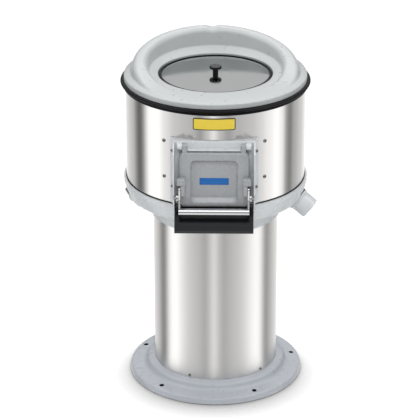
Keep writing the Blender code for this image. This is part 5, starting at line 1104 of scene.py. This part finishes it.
half_rounds = [RIM_DULL, FOLD_ROUND, RIM_DULL, RIM_DULL]
sheet_rounds = half_rounds + half_rounds
tray = piece_from(extruded(rounded(sheet, sheet_rounds), "X", -TRAY_HALF, TRAY_HALF, RIM_DULL),
                  "fine_chute_tray", black_gloss, "chute_tray", "chute_tray")
wall = [(tray_start, tray_rear - under), (lip_y, lip_z - under), (lip_y, lip_z + WALL_FRONT),
        (tray_start, tray_rear + WALL_REAR)]
for sign in SIDES.values():
    join_side(tray, sign, wall, WALL_ROUNDS, TRAY_HALF - SHEET, TRAY_HALF, RIM_DULL)
print("tray falls", round(math.degrees(fall)), "degrees")

# %% [markdown]
# The water inlet has a real pipe thread: a ridge that climbs one pitch in each turn. The lattice
# below asks, at every angle and height, how far that point is from the ridge, and sets its radius
# from this.

# %% Water inlet and cable gland
THREAD_PITCH, THREAD_DEPTH, THREAD_ROWS = 0.0015, 0.0009, 6
INLET_RADIUS, INLET_BORE, INLET_HEX, HEX_BACK, HEX_FACE = 0.010, 0.007, 0.017, 0.2603, 0.2683
inlet_start, inlet_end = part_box("water_inlet")[0][1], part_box("water_inlet")[1][1]
inlet_axis, backward = Vector((0, 0, INLET_HEIGHT)), Vector((0, 1, 0))
thread_root, thread_length = INLET_RADIUS - THREAD_DEPTH, inlet_end - HEX_FACE


def inlet_rod(radius, start, end, steps=SMALL_STEPS):
    """A bar along the inlet's axis between two distances behind the machine's axis."""
    return rod(radius, inlet_axis + backward * start, inlet_axis + backward * end, steps)


def thread_point(angle, height):
    """A point on the thread's surface."""
    along = (height / THREAD_PITCH - angle / math.tau) % 1.0
    radius = thread_root + THREAD_DEPTH * (1 - abs(2 * along - 1))
    return radius * math.cos(angle), height, INLET_HEIGHT + radius * math.sin(angle)


tail = [(INLET_BORE, inlet_start), (INLET_RADIUS, inlet_start), (INLET_RADIUS, HEX_BACK),
        (thread_root, HEX_BACK), (thread_root, inlet_end), (INLET_BORE, inlet_end)]
piece_from(turned(tail, SMALL_STEPS, inlet_axis, backward), "fine_water_inlet", brass,
           "water_inlet", "water_inlet")
hex_nut = piece_from(inlet_rod(INLET_HEX, HEX_BACK, HEX_FACE, 6), "inlet_hexagon", brass,
                     "water_inlet")
shaped(hex_nut, inlet_rod(thread_root, HEX_BACK - CUT_PAST, inlet_end))
rows = round(thread_length / THREAD_PITCH * THREAD_ROWS)
lattice = [[thread_point(math.tau * k / SMALL_STEPS, HEX_FACE + thread_length * row / rows)
            for k in range(SMALL_STEPS)] for row in range(rows + 1)]
thread = piece_from(lofted(lattice), "inlet_thread", brass, "water_inlet")
shaped(thread, inlet_rod(thread_root, HEX_BACK, inlet_end + CUT_PAST))
turn_again("cable_gland", nylon, 0.0, SMALL_STEPS, (0, 0, GLAND_HEIGHT), backward, EDGE_BREAK)
print("thread of", round(thread_length / THREAD_PITCH, 1), "turns")

# %% [markdown]
# Button-head screws hold the drum's stiffeners, the frame and the foot. Each is a low dome with a
# six-sided recess.

# %% Screws
HEAD_HIGH, HEAD_SUNK, RECESS, DOME_STEPS = 0.55, 0.0003, 0.42, 24
FOOT_SCREW_Z, FOOT_SCREW_TURN, FOOT_HEAD = 0.051, math.radians(-114), 0.0042
SCREW_ROWS = {                         # reach from the axis, x, heights, head radius, node beside
    "drum_screw": (DRUM_RADIUS, 0.1418, (0.8166, 0.7086), 0.0055, "drum_shell"),
    "frame_screw": (DRUM_RADIUS + AIR + FLANGE_WALL, 0.1183, (0.7935, 0.6850), 0.0050,
                    "door_frame"),
}


def screw(name, place, radius, beside):
    """A button-head screw that points at the machine's upright axis."""
    place = Vector(place)
    outward = Vector((place.x, place.y, 0)).normalized()
    high = HEAD_HIGH * radius
    dome = rounded([(0, -HEAD_SUNK), (radius, -HEAD_SUNK), (radius, high / 3), (radius / 2, high),
                    (0, high)], [0, 0, high / 3, high, 0], SOFT_STEPS)
    made = piece_from(turned(dome, DOME_STEPS, place, outward), name, zinc_plated_steel, beside)
    shaped(made, rod(RECESS * radius, place + outward * high / 4, place + outward * 2 * high, 6))


for side, sign in SIDES.items():
    for name, (reach, x, heights, head, beside) in SCREW_ROWS.items():
        front_y = -math.sqrt(reach * reach - x * x)
        for level, height in zip(("upper", "lower"), heights):
            screw(f"{name}_{side}_{level}", (sign * x, front_y, height), head, beside)
for k in range(FLOOR_BOLTS):
    angle = FOOT_SCREW_TURN + math.tau * k / FLOOR_BOLTS
    screw(f"foot_screw_{k}", polar(TUBE_RADIUS, angle, FOOT_SCREW_Z), FOOT_HEAD, "pedestal_tube")
print("screws in place")

# %% [markdown]
# Two bare plates finish the front: a yellow one with a dark border, bent to the drum, and a blue
# one on the pocket's floor. They are enamelled and carry no words.

# %% Bare plates
PLATE_HALF, PLATE_LOW, PLATE_HIGH, PLATE_CORNER, BORDER = 0.0595, 0.8635, 0.8985, 0.004, 0.0026
PLATE_WALL, PAINT_WALL = 0.0008, 0.0003
border_enamel = finish("olive_black_border_enamel", "2A2A14", 0.4)
yellow_enamel = finish("signal_yellow_enamel", "E9CF45", 0.4)
tint(yellow_enamel, pattern(yellow_enamel, 20), "E7CC40", "EBD24B")
blue_enamel = finish("signal_blue_enamel", "0F66B4", 0.4)
tint(blue_enamel, pattern(blue_enamel, 20), "0E63B0", "116AB8")
plate_back = DRUM_RADIUS + HEAD_SUNK
plate_face = plate_back + PLATE_WALL
for name, inset, inner, outer, material in (
        ("yellow_plate_border", 0, plate_back, plate_face, border_enamel),
        ("yellow_plate", BORDER, plate_face, plate_face + PAINT_WALL, yellow_enamel)):
    flat, bend = bent_block(PLATE_HALF - inset, PLATE_LOW + inset, PLATE_HIGH - inset, inner,
                            outer, PLATE_CORNER - inset)
    shaped(piece_from(flat, name, material, "drum_shell"), bend, "INTERSECT")
BLUE_HALF, BLUE_LOW, BLUE_HIGH = 0.0408, 0.7075, 0.7275
pocket_floor = DOOR_FACE - POCKET_DEPTH
blue = extruded(rounded(block(BLUE_HALF, BLUE_LOW, BLUE_HIGH), PLATE_CORNER / 2), "Y",
                -pocket_floor - PLATE_WALL, -pocket_floor, PAINT_WALL)
piece_from(blue, "blue_plate", blue_enamel, "discharge_door")
print("two plates in place")

# %% Finish
low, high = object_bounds()
